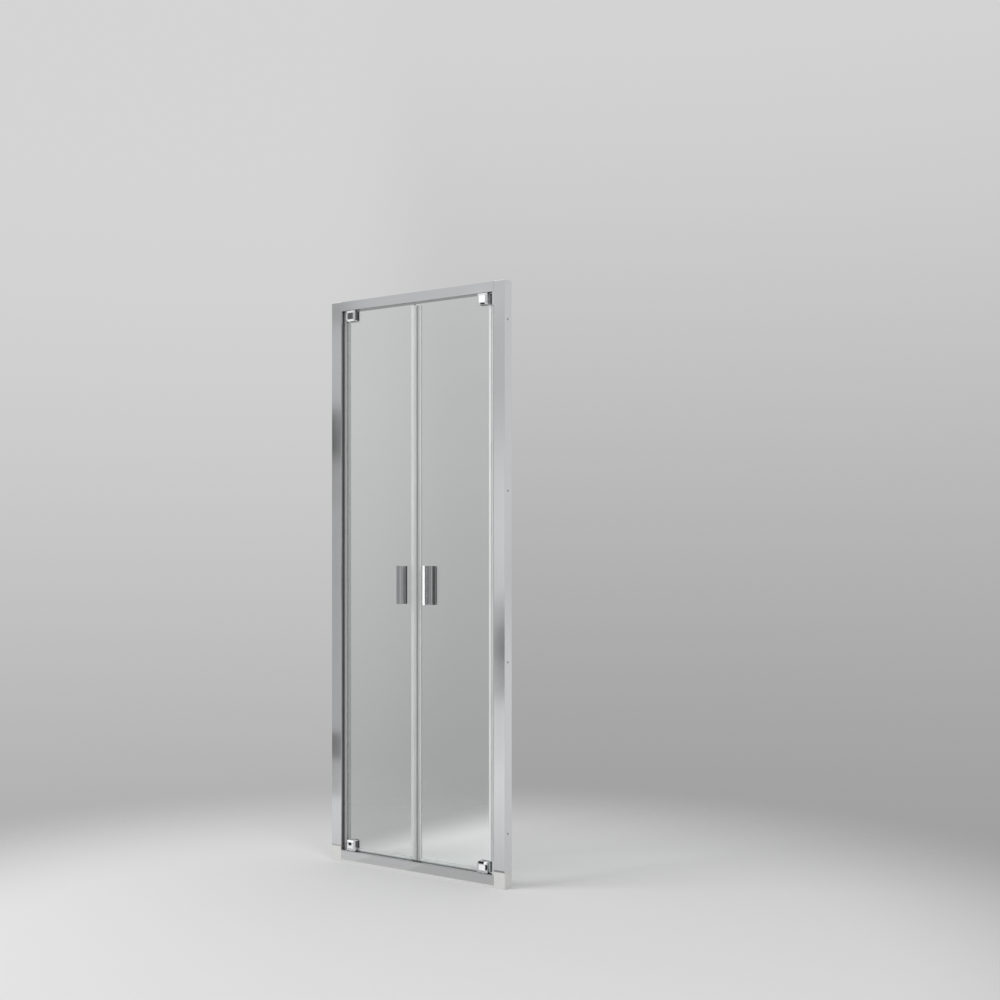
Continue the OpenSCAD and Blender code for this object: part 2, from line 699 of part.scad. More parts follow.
module handle_screws(side) color("silver") on_side(side)
    for (z = [-handle_screw_pitch / 2, handle_screw_pitch / 2])
        translate([-handle_seam - handle_mid, 0, handle_z + z]) rotate([-90, 0, 0])
            countersunk(-handle_y - blind_depth + 0.5, handle_y + back_plate_t);

// Legs of a seal that grips an upright edge of the glass
module upright_legs_2d(from, to) for (y = [-seal_out, seal_in]) box_2d([from, y], [to, y + seal_t]);

// Jamb seal: legs on the glass and a hollow bulb towards the nose
module jamb_seal(side) color("lightgray") on_side(side)
    along_z(threshold_z + block_z + block_h + cut, top_rail_z - block_z - block_h - cut) {
        upright_legs_2d(jamb_web_x, glass_jamb_x + jamb_seal_leg);
        box_2d([jamb_web_x, -seal_out], [jamb_web_x + seal_t, seal_out]);
        difference() {
            translate([bulb_x, 0]) circle(bulb_d / 2);
            translate([bulb_x, 0]) circle(bulb_d / 2 - seal_t);
            box_2d([jamb_web_x + seal_t / 2, -bulb_d], [jamb_web_x + seal_t / 2 + bulb_d, bulb_d]);
        }
    }

// Magnet seal: legs on the glass and a pocket for the magnet strip at the seam
module magnet_seal_2d(leg) {
    upright_legs_2d(glass_seam_x - leg, magnet_web_x + seal_t);
    box_2d([magnet_web_x, -seal_out], [magnet_web_x + seal_t, seal_out]);
    difference() {
        box_2d([magnet_web_x, -pocket_half], [-seam_half_gap, pocket_half]);
        box_2d(
            [magnet_web_x + seal_t, -pocket_half + pocket_wall],
            [-seam_half_gap - pocket_wall, pocket_half - pocket_wall]
        );
    }
}

module magnet_seal(side) color("lightgray") on_side(side)
    along_z(glass_bottom_z, glass_top_z - magnet_seal_short)
        magnet_seal_2d(side == LEFT ? left_seal_leg : right_seal_leg);

module magnet_strip(side) color("dimgray") on_side(side)
    along_z(glass_bottom_z + cut, glass_top_z - magnet_seal_short - cut) box_2d(
        [magnet_web_x + seal_t + magnet_clear, -pocket_half + pocket_wall + magnet_clear],
        [-seam_half_gap - pocket_wall - magnet_clear, pocket_half - pocket_wall - magnet_clear]
    );

// Drip seal: legs on the lower edge of the glass and a slanted lip over the threshold
module drip_seal_2d() {
    web_z = glass_bottom_z - seal_grip - seal_t;
    lip_z = threshold_z + lip_gap;
    for (y = [-seal_out, seal_in]) box_2d([y, web_z], [y + seal_t, glass_bottom_z + drip_leg]);
    box_2d([-seal_out, web_z], [seal_out, web_z + seal_t]);
    polygon([
        [glass_half, web_z + seal_t / 2], [glass_half - 2 * seal_t, web_z + seal_t / 2],
        [-glass_half / 2 - seal_t, lip_z], [-glass_half / 2, lip_z]
    ]);
}

module drip_seal(side) color("lightgray") on_side(side)
    along_x(pivot_x + block_w / 2 + cut, glass_seam_x - (side == LEFT ? left_seal_leg : right_seal_leg) - cut)
        drip_seal_2d();

wall_profile(LEFT);  // left_wall_profile
wall_profile(RIGHT);  // right_wall_profile
jamb_profile(LEFT);  // left_jamb_profile
jamb_profile(RIGHT);  // right_jamb_profile
top_rail();
threshold_rail();
threshold_base_strip();
foot_cap(LEFT);  // left_foot_cap
foot_cap(RIGHT);  // right_foot_cap
top_cap(LEFT);  // left_top_cap
top_cap(RIGHT);  // right_top_cap
bush(LEFT, true);  // left_top_bush
bush(LEFT, false);  // left_bottom_bush
bush(RIGHT, true);  // right_top_bush
bush(RIGHT, false);  // right_bottom_bush
adjusting_screws(LEFT);  // left_adjusting_screws
adjusting_screws(RIGHT);  // right_adjusting_screws
top_rail_screws();
threshold_screws();
glass(LEFT);  // left_glass
glass(RIGHT);  // right_glass
hinge_block(LEFT, true);  // left_top_hinge_block
hinge_block(LEFT, false);  // left_bottom_hinge_block
hinge_block(RIGHT, true);  // right_top_hinge_block
hinge_block(RIGHT, false);  // right_bottom_hinge_block
hinge_clamp(LEFT, true);  // left_top_hinge_clamp
hinge_clamp(LEFT, false);  // left_bottom_hinge_clamp
hinge_clamp(RIGHT, true);  // right_top_hinge_clamp
hinge_clamp(RIGHT, false);  // right_bottom_hinge_clamp
pivot_pin(LEFT, true);  // left_top_pivot_pin
pivot_pin(LEFT, false);  // left_bottom_pivot_pin
pivot_pin(RIGHT, true);  // right_top_pivot_pin
pivot_pin(RIGHT, false);  // right_bottom_pivot_pin
hinge_gaskets(LEFT, true);  // left_top_hinge_gaskets
hinge_gaskets(LEFT, false);  // left_bottom_hinge_gaskets
hinge_gaskets(RIGHT, true);  // right_top_hinge_gaskets
hinge_gaskets(RIGHT, false);  // right_bottom_hinge_gaskets
hinge_screws(LEFT, true);  // left_top_hinge_screws
hinge_screws(LEFT, false);  // left_bottom_hinge_screws
hinge_screws(RIGHT, true);  // right_top_hinge_screws
hinge_screws(RIGHT, false);  // right_bottom_hinge_screws
handle(LEFT);  // left_handle
handle(RIGHT);  // right_handle
back_plate(LEFT);  // left_back_plate
back_plate(RIGHT);  // right_back_plate
handle_pads(LEFT);  // left_handle_pads
handle_pads(RIGHT);  // right_handle_pads
handle_screws(LEFT);  // left_handle_screws
handle_screws(RIGHT);  // right_handle_screws
jamb_seal(LEFT);  // left_jamb_seal
jamb_seal(RIGHT);  // right_jamb_seal
magnet_seal(LEFT);  // left_magnet_seal
magnet_seal(RIGHT);  // right_magnet_seal
magnet_strip(LEFT);  // left_magnet_strip
magnet_strip(RIGHT);  // right_magnet_strip
drip_seal(LEFT);  // left_drip_seal
drip_seal(RIGHT);  // right_drip_seal
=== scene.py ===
"""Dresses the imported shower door: finishes, and finer hinges, handles, caps, seals and screws."""

import json
import math

import bmesh
import bpy
from bpy.props import FloatProperty, FloatVectorProperty, IntProperty, PointerProperty
from mathutils import Matrix, Vector


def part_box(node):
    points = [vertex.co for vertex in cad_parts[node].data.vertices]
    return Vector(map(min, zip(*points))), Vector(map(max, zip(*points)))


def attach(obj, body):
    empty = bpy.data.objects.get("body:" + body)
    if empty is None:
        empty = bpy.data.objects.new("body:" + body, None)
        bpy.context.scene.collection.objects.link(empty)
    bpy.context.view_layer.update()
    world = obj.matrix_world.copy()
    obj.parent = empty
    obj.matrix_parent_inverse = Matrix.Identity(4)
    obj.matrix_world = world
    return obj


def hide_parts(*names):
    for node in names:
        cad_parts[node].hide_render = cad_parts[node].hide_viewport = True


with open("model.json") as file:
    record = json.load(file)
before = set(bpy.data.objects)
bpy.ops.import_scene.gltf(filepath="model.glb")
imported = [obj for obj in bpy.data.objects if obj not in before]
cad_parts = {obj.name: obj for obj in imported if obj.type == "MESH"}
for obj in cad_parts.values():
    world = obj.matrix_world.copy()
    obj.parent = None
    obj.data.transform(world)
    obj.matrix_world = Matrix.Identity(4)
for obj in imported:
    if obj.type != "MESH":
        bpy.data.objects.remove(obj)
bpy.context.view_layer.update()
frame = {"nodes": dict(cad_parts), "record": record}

bl_info = {
    "name": "Double hinged shower door",
    "version": (1, 0, 0),
    "blender": (4, 5, 0),
    "location": "View3D > Sidebar > Shower door",
    "description": "Makes the finishes, finer pieces and stage of a shower door with two hinged leaves",
    "category": "Object",
}

SIDES = ("left", "right")
ENDS = ("top", "bottom")
CORNERS = [f"{side}_{end}" for side in SIDES for end in ENDS]
MERGE = 1e-6
TIP_SHARE = 0.45
CHAMFER = 0.0001

# Places on the door that finishes and cards go by, with the slope of a hinge block's bevel in degrees

PROFILE_LOW, PROFILE_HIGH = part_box("right_wall_profile")
WALL_FACE = PROFILE_HIGH.x
PROFILE_EDGE = PROFILE_LOW.x
PROFILE_FRONT = PROFILE_LOW.y
HINGE_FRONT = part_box("right_top_hinge_block")[0].y
BEVEL_MIDDLE = HINGE_FRONT + 0.0019
SLOPE = 26.6
FIN_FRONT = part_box("right_handle")[0].y
HANDLE_BASE = -0.0098
HANDLE_MIDDLE = 0.967
SEAM_MIDDLE = 0.0030


# Sizes, colours and stage settings


def length_setting(name, description, default, low, high):
    """A small size"""
    return FloatProperty(
        name=name,
        description=description,
        default=default,
        min=low,
        max=high,
        unit="LENGTH",
        precision=5,
    )


def colour_setting(name, description, default):
    """The colour of a finish"""
    return FloatVectorProperty(
        name=name,
        description=description,
        default=default,
        size=3,
        min=0.0,
        max=1.0,
        subtype="COLOR",
    )


def level_setting(name, description, default, low=0.0, high=1.0):
    """A plain number between two limits"""
    return FloatProperty(name=name, description=description, default=default, min=low, max=high)


def power_setting(name, description, default):
    """The power of a lamp"""
    return FloatProperty(name=name, description=description, default=default, min=0.0, unit="POWER")


class ShowerDoorSizes(bpy.types.PropertyGroup):
    """Small sizes that only the finished look needs"""

    chrome_edge: length_setting(
        "Chrome edge", "Width of the rounding along the edges of hinges and handles", 0.0005, 0.0001, 0.001
    )
    cap_edge: length_setting(
        "Cap edge", "Width of the rounding along the edges of the moulded caps", 0.0006, 0.0001, 0.001
    )
    seal_wall: length_setting("Seal wall", "Thickness of the clear seals", 0.001, 0.0008, 0.0012)
    bulb: length_setting("Seal bulb", "Outer diameter of a jamb seal's hollow bulb", 0.008, 0.006, 0.009)
    pocket_wall: length_setting(
        "Magnet pocket wall", "Thickness of the walls round a magnet strip", 0.0009, 0.0006, 0.0012
    )
    seal_wave: length_setting(
        "Seal waviness", "How far a drawn seal wanders from a straight line", 0.00008, 0.0, 0.00012
    )
    seal_steps: IntProperty(
        name="Seal steps",
        description="Number of sections along each seal",
        default=64,
        min=2,
        max=200,
    )
    thread_pitch: length_setting(
        "Thread pitch", "Distance between the turns of a self-tapping screw's thread", 0.0012, 0.0008, 0.002
    )
    seed: IntProperty(
        name="Seed",
        description="Fixes how the screws come to rest and how the seals wander",
        default=7,
        min=0,
    )


class ShowerDoorColours(bpy.types.PropertyGroup):
    """Colours of the finishes"""

    aluminium: colour_setting("Aluminium", "Bright anodised profiles and rails", (0.86, 0.865, 0.875))
    chrome: colour_setting("Chrome", "Polished hinges and handles", (0.86, 0.875, 0.89))
    steel: colour_setting("Stainless steel", "Screws and pivot pins", (0.62, 0.61, 0.60))
    glass: colour_setting("Glass", "Tint of the leaves, seen through their faces", (0.90, 0.925, 0.918))
    glass_edge: colour_setting("Glass edge", "Green of the polished edges of the glass", (0.50, 0.74, 0.66))
    seal: colour_setting("Seal", "Clear soft plastic of the seals", (0.83, 0.86, 0.85))
    gasket: colour_setting("Gasket", "Smoke grey gaskets and pads on the glass", (0.22, 0.23, 0.23))
    cap: colour_setting("Caps", "Light moulded caps and the strip under the threshold", (0.67, 0.67, 0.66))
    bush: colour_setting("Bushes", "Nylon of the pivot bushes", (0.80, 0.79, 0.75))
    magnet: colour_setting("Magnet strip", "Flexible magnets in the seals at the seam", (0.09, 0.09, 0.095))


class ShowerDoorStage(bpy.types.PropertyGroup):
    """Camera, backdrop and lamps"""

    eye: FloatVectorProperty(
        name="Camera place",
        description="Where the camera stands",
        default=(2.700, -3.494, 1.085),
        size=3,
        subtype="TRANSLATION",
        unit="LENGTH",
    )
    turn: FloatProperty(
        name="Camera turn",
        description="Turn of the level camera about the upright, from looking straight at the door",
        default=math.radians(34.1),
        subtype="ANGLE",
    )
    lens: FloatProperty(
        name="Lens",
        description="Focal length on a 36 mm sensor",
        default=47.2,
        min=10.0,
        max=200.0,
        unit="CAMERA",
    )
    rise: level_setting("Lens rise", "Upward shift of the lens of the level camera", 0.05, -0.2, 0.2)
    backdrop_high: level_setting("Backdrop above", "Brightness of the backdrop above the horizon", 0.66)
    backdrop_low: level_setting("Backdrop below", "Brightness of the backdrop below the horizon", 0.34)
    floor: level_setting("Floor", "How pale the floor is", 0.74)
    ambient: level_setting("Ambient light", "Strength of the even light from all round", 0.60, 0.0, 2.0)
    key: power_setting("Main lamp", "Power of the large soft lamp in front on the left", 120.0)
    fill: power_setting("Second lamp", "Power of the soft lamp in front on the right", 35.0)


def chosen(context, group):
    """The scene's sizes, colours or stage settings"""
    return getattr(context.scene, f"shower_door_{group}")


# Materials


class Wire:
    """A number in a material's nodes, used in sums like any other number"""

    def __init__(self, finish, socket):
        self.finish = finish
        self.socket = socket

    def math(self, operation, *values, clamp=False):
        settings = {"operation": operation, "use_clamp": clamp}
        return self.finish.wire("ShaderNodeMath", settings, dict(enumerate(values)))

    def __add__(self, other):
        return self.math("ADD", self, other)

    def __sub__(self, other):
        return self.math("SUBTRACT", self, other)

    def __rsub__(self, other):
        return self.math("SUBTRACT", other, self)

    def __mul__(self, other):
        return self.math("MULTIPLY", self, other)

    def __pow__(self, other):
        return self.math("POWER", self, other)

    def __abs__(self):
        return self.math("ABSOLUTE", self)

    __radd__ = __add__
    __rmul__ = __mul__

    def sine(self):
        return self.math("SINE", self)

    def within(self):
        """The number held between 0 and 1"""
        return self.math("ADD", self, 0.0, clamp=True)

    def rises(self, low, high):
        """0 below low, 1 above high, and a smooth step between them"""
        sockets = {"Value": self, "From Min": low, "From Max": high}
        return self.finish.wire("ShaderNodeMapRange", {"interpolation_type": "SMOOTHSTEP"}, sockets)


def new_node(tree, kind, settings, sockets):
    """Adds a node, makes its settings first, and then gives its sockets their values or links"""
    made = tree.nodes.new(kind)
    for name, value in (settings or {}).items():
        setattr(made, name, value)
    for name, value in (sockets or {}).items():
        source = value.socket if isinstance(value, Wire) else value
        if isinstance(source, bpy.types.NodeSocket):
            tree.links.new(source, made.inputs[name])
        else:
            made.inputs[name].default_value = value
    return made


class Finish:
    """The node tree of a material or of the world"""

    def __init__(self, tree):
        self.tree = tree
        tree.nodes.clear()

    def node(self, kind, settings=None, sockets=None):
        return new_node(self.tree, kind, settings, sockets)

    def wire(self, kind, settings=None, sockets=None, output=0):
        return Wire(self, self.node(kind, settings, sockets).outputs[output])

    def light(self, output):
        """What the ray of light that meets the surface has been through"""
        return self.wire("ShaderNodeLightPath", output=output)

    def turns(self):
        """How many mirroring surfaces have turned the light that reaches the eye"""
        return self.light("Glossy Depth")

    def parts(self, vector):
        split = self.node("ShaderNodeSeparateXYZ", sockets={0: vector})
        return [Wire(self, socket) for socket in split.outputs]

    def place(self):
        return self.wire("ShaderNodeTexCoord", output="Object")

    def noise(self, scales, detail=2.0, rough=0.5):
        """Noise on the object's own coordinates, with a scale for each axis"""
        vector = self.wire("ShaderNodeVectorMath", {"operation": "MULTIPLY"}, {0: self.place(), 1: scales})
        sockets = {"Vector": vector, "Scale": 1.0, "Detail": detail, "Roughness": rough}
        return self.wire("ShaderNodeTexNoise", sockets=sockets)

    def grain(self, scale, detail=2.0, rough=0.5):
        """Noise that is alike in all directions"""
        return self.noise((scale,) * 3, detail, rough)

    def lines(self, axis, across, along, detail=2.0, rough=0.5):
        """Noise drawn out into lines along an axis"""
        return self.noise([along if i == axis else across for i in range(3)], detail, rough)

    def blend(self, mask, low, high):
        """A colour between two colours"""
        low, high = (c if isinstance(c, Wire) else (*c, 1.0) for c in (low, high))
        return self.wire("ShaderNodeMix", {"data_type": "RGBA"}, {0: mask, 6: low, 7: high}, output=2)

    def bump(self, height, depth):
        return self.wire("ShaderNodeBump", sockets={"Strength": 1.0, "Distance": depth, "Height": height})

    def principled(self, **sockets):
        sockets = {name.replace("_", " "): value for name, value in sockets.items()}
        return self.wire("ShaderNodeBsdfPrincipled", sockets=sockets)

    def mixed(self, mask, first, second):
        """One shader where the mask is 0 and the other where it is 1"""
        return self.wire("ShaderNodeMixShader", sockets={0: mask, 1: first, 2: second})

    def surface(self, shader):
        kind = "World" if isinstance(self.tree.id_data, bpy.types.World) else "Material"
        self.node(f"ShaderNodeOutput{kind}", sockets={"Surface": shader})


def new_finish(name):
    """A new material and the node tree that its finish is built in"""
    material = bpy.data.materials.new(name)
    material.use_nodes = True
    return material, Finish(material.node_tree)


def shade(colour, factor):
    """A colour made lighter or darker"""
    return tuple(min(1.0, c * factor) for c in colour)


def grey(level):
    """A colour without a hue"""
    return (level,) * 3


def drawn_aluminium(name, colour, axis, wall=False, jamb=False):
    """Bright anodised aluminium with the fine lines of its die"""
    material, finish = new_finish(name)
    lines = finish.lines(axis, 1300.0, 1.5, detail=3.0, rough=0.6)
    broad = finish.lines(axis, 160.0, 1.5)
    cloud = finish.grain(9.0, detail=4.0, rough=0.6)
    tone = (lines * 0.35 + broad * 0.35 + cloud * 0.3).rises(0.3, 0.7)
    colour_here = finish.blend(tone, shade(colour, 0.955), colour)
    metal, rough = 1.0, 0.075 + lines * 0.03 + cloud * 0.05
    if wall:
        # The side that stands against the wall is satin
        x = finish.parts(finish.place())[0]
        hidden = abs(x).rises(WALL_FACE - 0.0008, WALL_FACE - 0.0003)
        rough = rough + hidden * 0.34
    if jamb:
        # The nose is a satin lip, and painted shade darkens the left jamb on its inner side and behind its
        # nose
        x, y, z = finish.parts(finish.place())
        left = 1.0 - x.rises(-0.01, 0.01)
        nose = 1.0 - abs(x).rises(PROFILE_EDGE - 0.0003, PROFILE_EDGE - 0.0001)
        shaded_inner = 1.0 - abs(x).rises(PROFILE_EDGE + 0.0001, PROFILE_EDGE + 0.0005)
        side = shaded_inner * (1.0 - y.rises(-0.0012, -0.0008)) * left
        behind = y.rises(-0.0009, 0.0) * left
        # Painted shade: the left jamb's inner side darkens from its front towards the nose, and the nose is
        # dark behind its front
        painted_recess_shade = finish.blend(y.rises(-0.0175, -0.0070), (0.85, 0.85, 0.855), (0.16, 0.16, 0.165))
        nose_satin_and_shade = finish.blend(behind, (0.66, 0.66, 0.665), (0.10, 0.10, 0.105))
        colour_here = finish.blend(side, colour_here, painted_recess_shade)
        colour_here = finish.blend(nose, colour_here, nose_satin_and_shade)
        metal = 1.0 - nose * 0.9
        rough = rough + nose * 0.3
    finish.surface(
        finish.principled(
            Base_Color=colour_here,
            Metallic=metal,
            Roughness=rough,
            Normal=finish.bump(lines * 0.5 + broad * 0.5, 0.000012),
        )
    )
    return material


def polished_chrome(name, colour):
    """Chrome plate with the slight swell of the casting under it and a trace of polishing haze"""
    material, finish = new_finish(name)
    swell = finish.grain(70.0)
    haze = finish.grain(420.0, detail=4.0, rough=0.65)
    cloud = finish.grain(28.0, detail=3.0)
    finish.surface(
        finish.principled(
            Base_Color=finish.blend(cloud.rises(0.3, 0.7), shade(colour, 0.97), colour),
            Metallic=1.0,
            Roughness=0.012 + haze.rises(0.45, 0.75) * 0.010 + cloud * 0.008,
            Normal=finish.bump(swell, 0.0000012),
        )
    )
    return material


def turned_steel(name, colour):
    """Stainless steel with the rings of a lathe round each screw's own axis"""
    material, finish = new_finish(name)
    reach = finish.wire("ShaderNodeAttribute", {"attribute_name": "reach"}, output="Fac")
    rings = (reach * 42000.0).sine() * 0.5 + 0.5
    grime = finish.grain(900.0, detail=3.0)
    finish.surface(
        finish.principled(
            Base_Color=finish.blend(grime.rises(0.35, 0.7), shade(colour, 0.82), colour),
            Metallic=1.0,
            Roughness=0.2 + rings * 0.06 + grime * 0.12,
            Normal=finish.bump(rings, 0.000006),
        )
    )
    return material


def ground_steel(name, colour):
    """Stainless steel of the pivot pins, with rings from the grinding wheel"""
    material, finish = new_finish(name)
    rings = finish.noise((60.0, 60.0, 5200.0))
    cloud = finish.grain(240.0, detail=3.0)
    finish.surface(
        finish.principled(
            Base_Color=finish.blend(cloud.rises(0.3, 0.7), shade(colour, 0.9), colour),
            Metallic=1.0,
            Roughness=0.16 + rings * 0.1,
            Normal=finish.bump(rings, 0.000004),
        )
    )
    return material


def clear_glass(name, tint, edge_tint):
    """Toughened float glass: nearly clear through its faces and green along its polished edges"""
    material, finish = new_finish(name)
    normal = finish.parts(finish.wire("ShaderNodeTexCoord", output="Normal"))
    edge = (1.0 - abs(normal[1])).rises(0.1, 0.6)
    drift = finish.noise((1.3, 1.3, 0.7))
    face = finish.blend(drift.rises(0.3, 0.7), shade(tint, 0.985), tint)
    body = finish.principled(
        Base_Color=finish.blend(edge, face, edge_tint),
        Roughness=edge * 0.12,
        IOR=1.52,
        Transmission_Weight=1.0,
    )
    # Light that falls through a leaf casts only a faint shadow
    clear = finish.wire("ShaderNodeBsdfTransparent", sockets={"Color": (*shade(tint, 0.96), 1.0)})
    finish.surface(finish.mixed(finish.light("Is Shadow Ray"), body, clear))
    return material


def clear_plastic(name, colour, axis, body, gloss, seam=False):
    """Soft clear plastic, a little milky, with lines from drawing; a seam seal gets a darker line of
    painted shade
    """
    material, finish = new_finish(name)
    lines = finish.lines(axis, 1500.0, 2.0)
    milk = finish.noise((30.0, 30.0, 6.0), detail=3.0)
    colour_here = finish.blend(milk.rises(0.3, 0.7), shade(colour, 0.95), colour)
    cover = body + lines * 0.08 + milk * 0.08
    if seam:
        # Painted shade: a darker, less clear line along the seam between the two seals
        off_seam = abs(finish.parts(finish.place())[0] - SEAM_MIDDLE)
        line = 1.0 - off_seam.rises(0.0026, 0.0046)
        colour_here = finish.blend(line, colour_here, shade(colour, 0.42))
        cover = cover + line * 0.3
    finish.surface(
        finish.principled(
            Base_Color=colour_here,
            Roughness=gloss + lines * 0.1,
            Alpha=cover,
            IOR=1.53,
            Normal=finish.bump(lines, 0.00002),
        )
    )
    return material


def moulded_plastic(name, colour, foot=False):
    """Light moulded plastic with the grain of its mould; a foot cap has painted shade on its inner side"""
    material, finish = new_finish(name)
    grain = finish.grain(2600.0)
    cloud = finish.grain(22.0, detail=3.0)
    colour_here = finish.blend(cloud.rises(0.25, 0.75), shade(colour, 0.965), colour)
    if foot:
        # Painted shade on the foot cap's inner side, beside the jamb
        x = finish.parts(finish.place())[0]
        shaded_inner = 1.0 - abs(x).rises(PROFILE_EDGE + 0.0002, PROFILE_EDGE + 0.0008)
        colour_here = finish.blend(shaded_inner, colour_here, shade(colour, 0.16))
    finish.surface(
        finish.principled(
            Base_Color=colour_here,
            Roughness=0.34 + grain * 0.1 + cloud * 0.06,
            Normal=finish.bump(grain, 0.00003),
        )
    )
    return material


def turned_nylon(name, colour):
    """Waxy nylon of the bushes, with tool rings"""
    material, finish = new_finish(name)
    rings = finish.noise((120.0, 120.0, 3800.0))
    cloud = finish.grain(300.0, detail=3.0)
    finish.surface(
        finish.principled(
            Base_Color=finish.blend(cloud, shade(colour, 0.93), colour),
            Roughness=0.42 + rings * 0.12,
            Subsurface_Weight=0.15,
            Subsurface_Scale=0.002,
            Normal=finish.bump(rings, 0.000015),
        )
    )
    return material


def magnet_rubber(name, colour):
    """Ferrite-filled rubber with pale specks and drawn lines"""
    material, finish = new_finish(name)
    specks = finish.grain(2400.0, detail=3.0).rises(0.62, 0.72)
    lines = finish.lines(2, 1800.0, 3.0)
    finish.surface(
        finish.principled(
            Base_Color=finish.blend(specks * 0.5 + lines * 0.2, colour, (0.30, 0.30, 0.31)),
            Roughness=0.6 + lines * 0.15,
            Normal=finish.bump(lines, 0.00002),
        )
    )
    return material


# Shapes


def each(places, part):
    """Names of the CAD nodes that hold one part at all its places"""
    return [f"{place}_{part}" for place in places]


def body_of(node):
    """The body that a CAD node moves with"""
    groups = frame["record"]["behaviour"]["bodies"]
    return next(body for body, members in groups.items() if node in members)


def add_object(name, data):
    """Adds an object to the scene"""
    made = bpy.data.objects.new(name, data)
    bpy.context.scene.collection.objects.link(made)
    return made


def add_piece(name, mesh, nodes):
    """Adds a finished mesh that stands for CAD nodes of one body"""
    piece = add_object(name, mesh)
    body = body_of(nodes[0])
    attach(piece, body)
    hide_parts(*nodes)
    return piece


def dress(nodes, material):
    """Gives CAD nodes a finish of their own"""
    for node in nodes:
        mesh = frame["nodes"][node].data
        mesh.materials.clear()
        mesh.materials.append(material)


def merged(mesh):
    """A copy of a mesh, open for editing, with its loose faces joined"""
    bm = bmesh.new()
    bm.from_mesh(mesh)
    bmesh.ops.remove_doubles(bm, verts=bm.verts, dist=MERGE)
    return bm


def stored(bm, mesh):
    """Writes edited faces into a mesh and ends the editing"""
    bm.to_mesh(mesh)
    bm.free()
    return mesh


def soften(node, ending, width, material, angle=10.0):
    """Stands a copy with rounded edges in for a CAD node"""
    name = f"{node}_{ending}"
    bm = merged(frame["nodes"][node].data)
    bmesh.ops.dissolve_limit(bm, angle_limit=math.radians(0.5), verts=bm.verts, edges=bm.edges)
    mesh = stored(bm, bpy.data.meshes.new(name))
    mesh.materials.append(material)
    mesh.shade_smooth()
    piece = add_piece(name, mesh, [node])
    bevel = piece.modifiers.new("Rounded edges", "BEVEL")
    bevel.width = width
    bevel.segments = 3
    bevel.limit_method = "ANGLE"
    bevel.angle_limit = math.radians(angle)
    bevel.miter_outer = "MITER_ARC"
    even = piece.modifiers.new("Flat faces", "WEIGHTED_NORMAL")
    even.mode = "FACE_AREA"
    even.weight = 100


def rounded(points, radii, steps=5):
    """Rounds the corners of a closed outline; one radius for each corner"""
    made = []
    for i, (point, radius) in enumerate(zip(points, radii)):
        corner = Vector(point)
        if radius <= 0.0:
            made.append(corner)
            continue
        to_last = (Vector(points[i - 1]) - corner).normalized()
        to_next = (Vector(points[(i + 1) % len(points)]) - corner).normalized()
        half = to_last.angle(to_next) / 2
        reach = radius / math.tan(half)
        middle = corner + (to_last + to_next).normalized() * (radius / math.sin(half))
        start = corner + to_last * reach - middle
        turn = start.angle_signed(corner + to_next * reach - middle)
        for step in range(steps + 1):
            spin = Matrix.Rotation(-turn * step / steps, 2)
            made.append(middle + spin @ start)
    return made


def arc(middle, radius, first=0.0, last=2 * math.pi):
    """Points on an arc from one angle to another, or once round a circle"""
    steps = 28
    angles = [first + (last - first) * i / steps for i in range(steps + 1)]
    return [Vector((middle[0] + radius * math.cos(a), middle[1] + radius * math.sin(a))) for a in angles]


def jamb_seal_outlines(box, sizes):
    """Section of a jamb seal as drawn for the left: two legs, a web and a hollow bulb"""
    low, high = box
    wall = sizes.seal_wall
    half = high.y
    bulb = sizes.bulb / 2
    sunk = 0.0004
    middle = (low.x + bulb, 0.0)
    web = low.x + 2 * bulb - sunk
    reach = math.acos((web - middle[0]) / bulb)
    tip = wall * TIP_SHARE
    outline = rounded(
        [
            (web, half),
            (high.x, half),
            (high.x, half - wall),
            (web + wall, half - wall),
            (web + wall, wall - half),
            (high.x, wall - half),
            (high.x, -half),
            (web, -half),
        ],
        [tip, tip, tip, 0.0, 0.0, tip, tip, tip],
    )
    outline += arc(middle, bulb, -reach, reach - 2 * math.pi)
    return [outline, arc(middle, bulb - wall)[:-1]]


def magnet_seal_outlines(box, sizes):
    """Section of a seam seal as drawn for the left: two legs and a closed pocket for the magnet"""
    low, high = box
    wall, thin = sizes.seal_wall, sizes.pocket_wall
    pocket = high.y
    half = 0.00415
    web = -0.01085
    tip = wall * TIP_SHARE
    bend, corner, lining = 0.0003, 0.0007, 0.0001
    outline = rounded(
        [
            (low.x, half),
            (web, half),
            (web, pocket),
            (high.x, pocket),
            (high.x, -pocket),
            (web, -pocket),
            (web, -half),
            (low.x, -half),
            (low.x, wall - half),
            (web, wall - half),
            (web, half - wall),
            (low.x, half - wall),
        ],
        [tip, 0.0, bend, corner, corner, bend, 0.0, tip, tip, 0.0, 0.0, tip],
    )
    inside = [
        (web + wall, pocket - thin),
        (high.x - thin, pocket - thin),
        (high.x - thin, thin - pocket),
        (web + wall, thin - pocket),
    ]
    return [outline, rounded(inside, [lining] * 4, 2)]


def drip_seal_outlines(box, sizes):
    """Section of a drip seal: two legs, a web and a thin lip that slants forward over the threshold"""
    low, high = box
    wall = sizes.seal_wall
    half = high.y
    glass = 0.003
    grip = 0.008
    gap = 0.00015
    web = high.z - grip - gap - wall
    tip = wall * TIP_SHARE
    lip_tip = 0.0002
    outline = rounded(
        [
            (-half, high.z),
            (wall - half, high.z),
            (wall - half, web + wall),
            (half - wall, web + wall),
            (half - wall, high.z),
            (half, high.z),
            (half, web),
            (glass * 0.8, web),
            (-glass / 2, low.z),
            (-glass / 2 - wall, low.z),
            (glass * 0.2 - wall, web),
            (-half, web),
        ],
        [tip, tip, 0.0, 0.0, tip, tip, tip, 0.0, lip_tip, lip_tip, 0.0, tip],
    )
    return [outline]


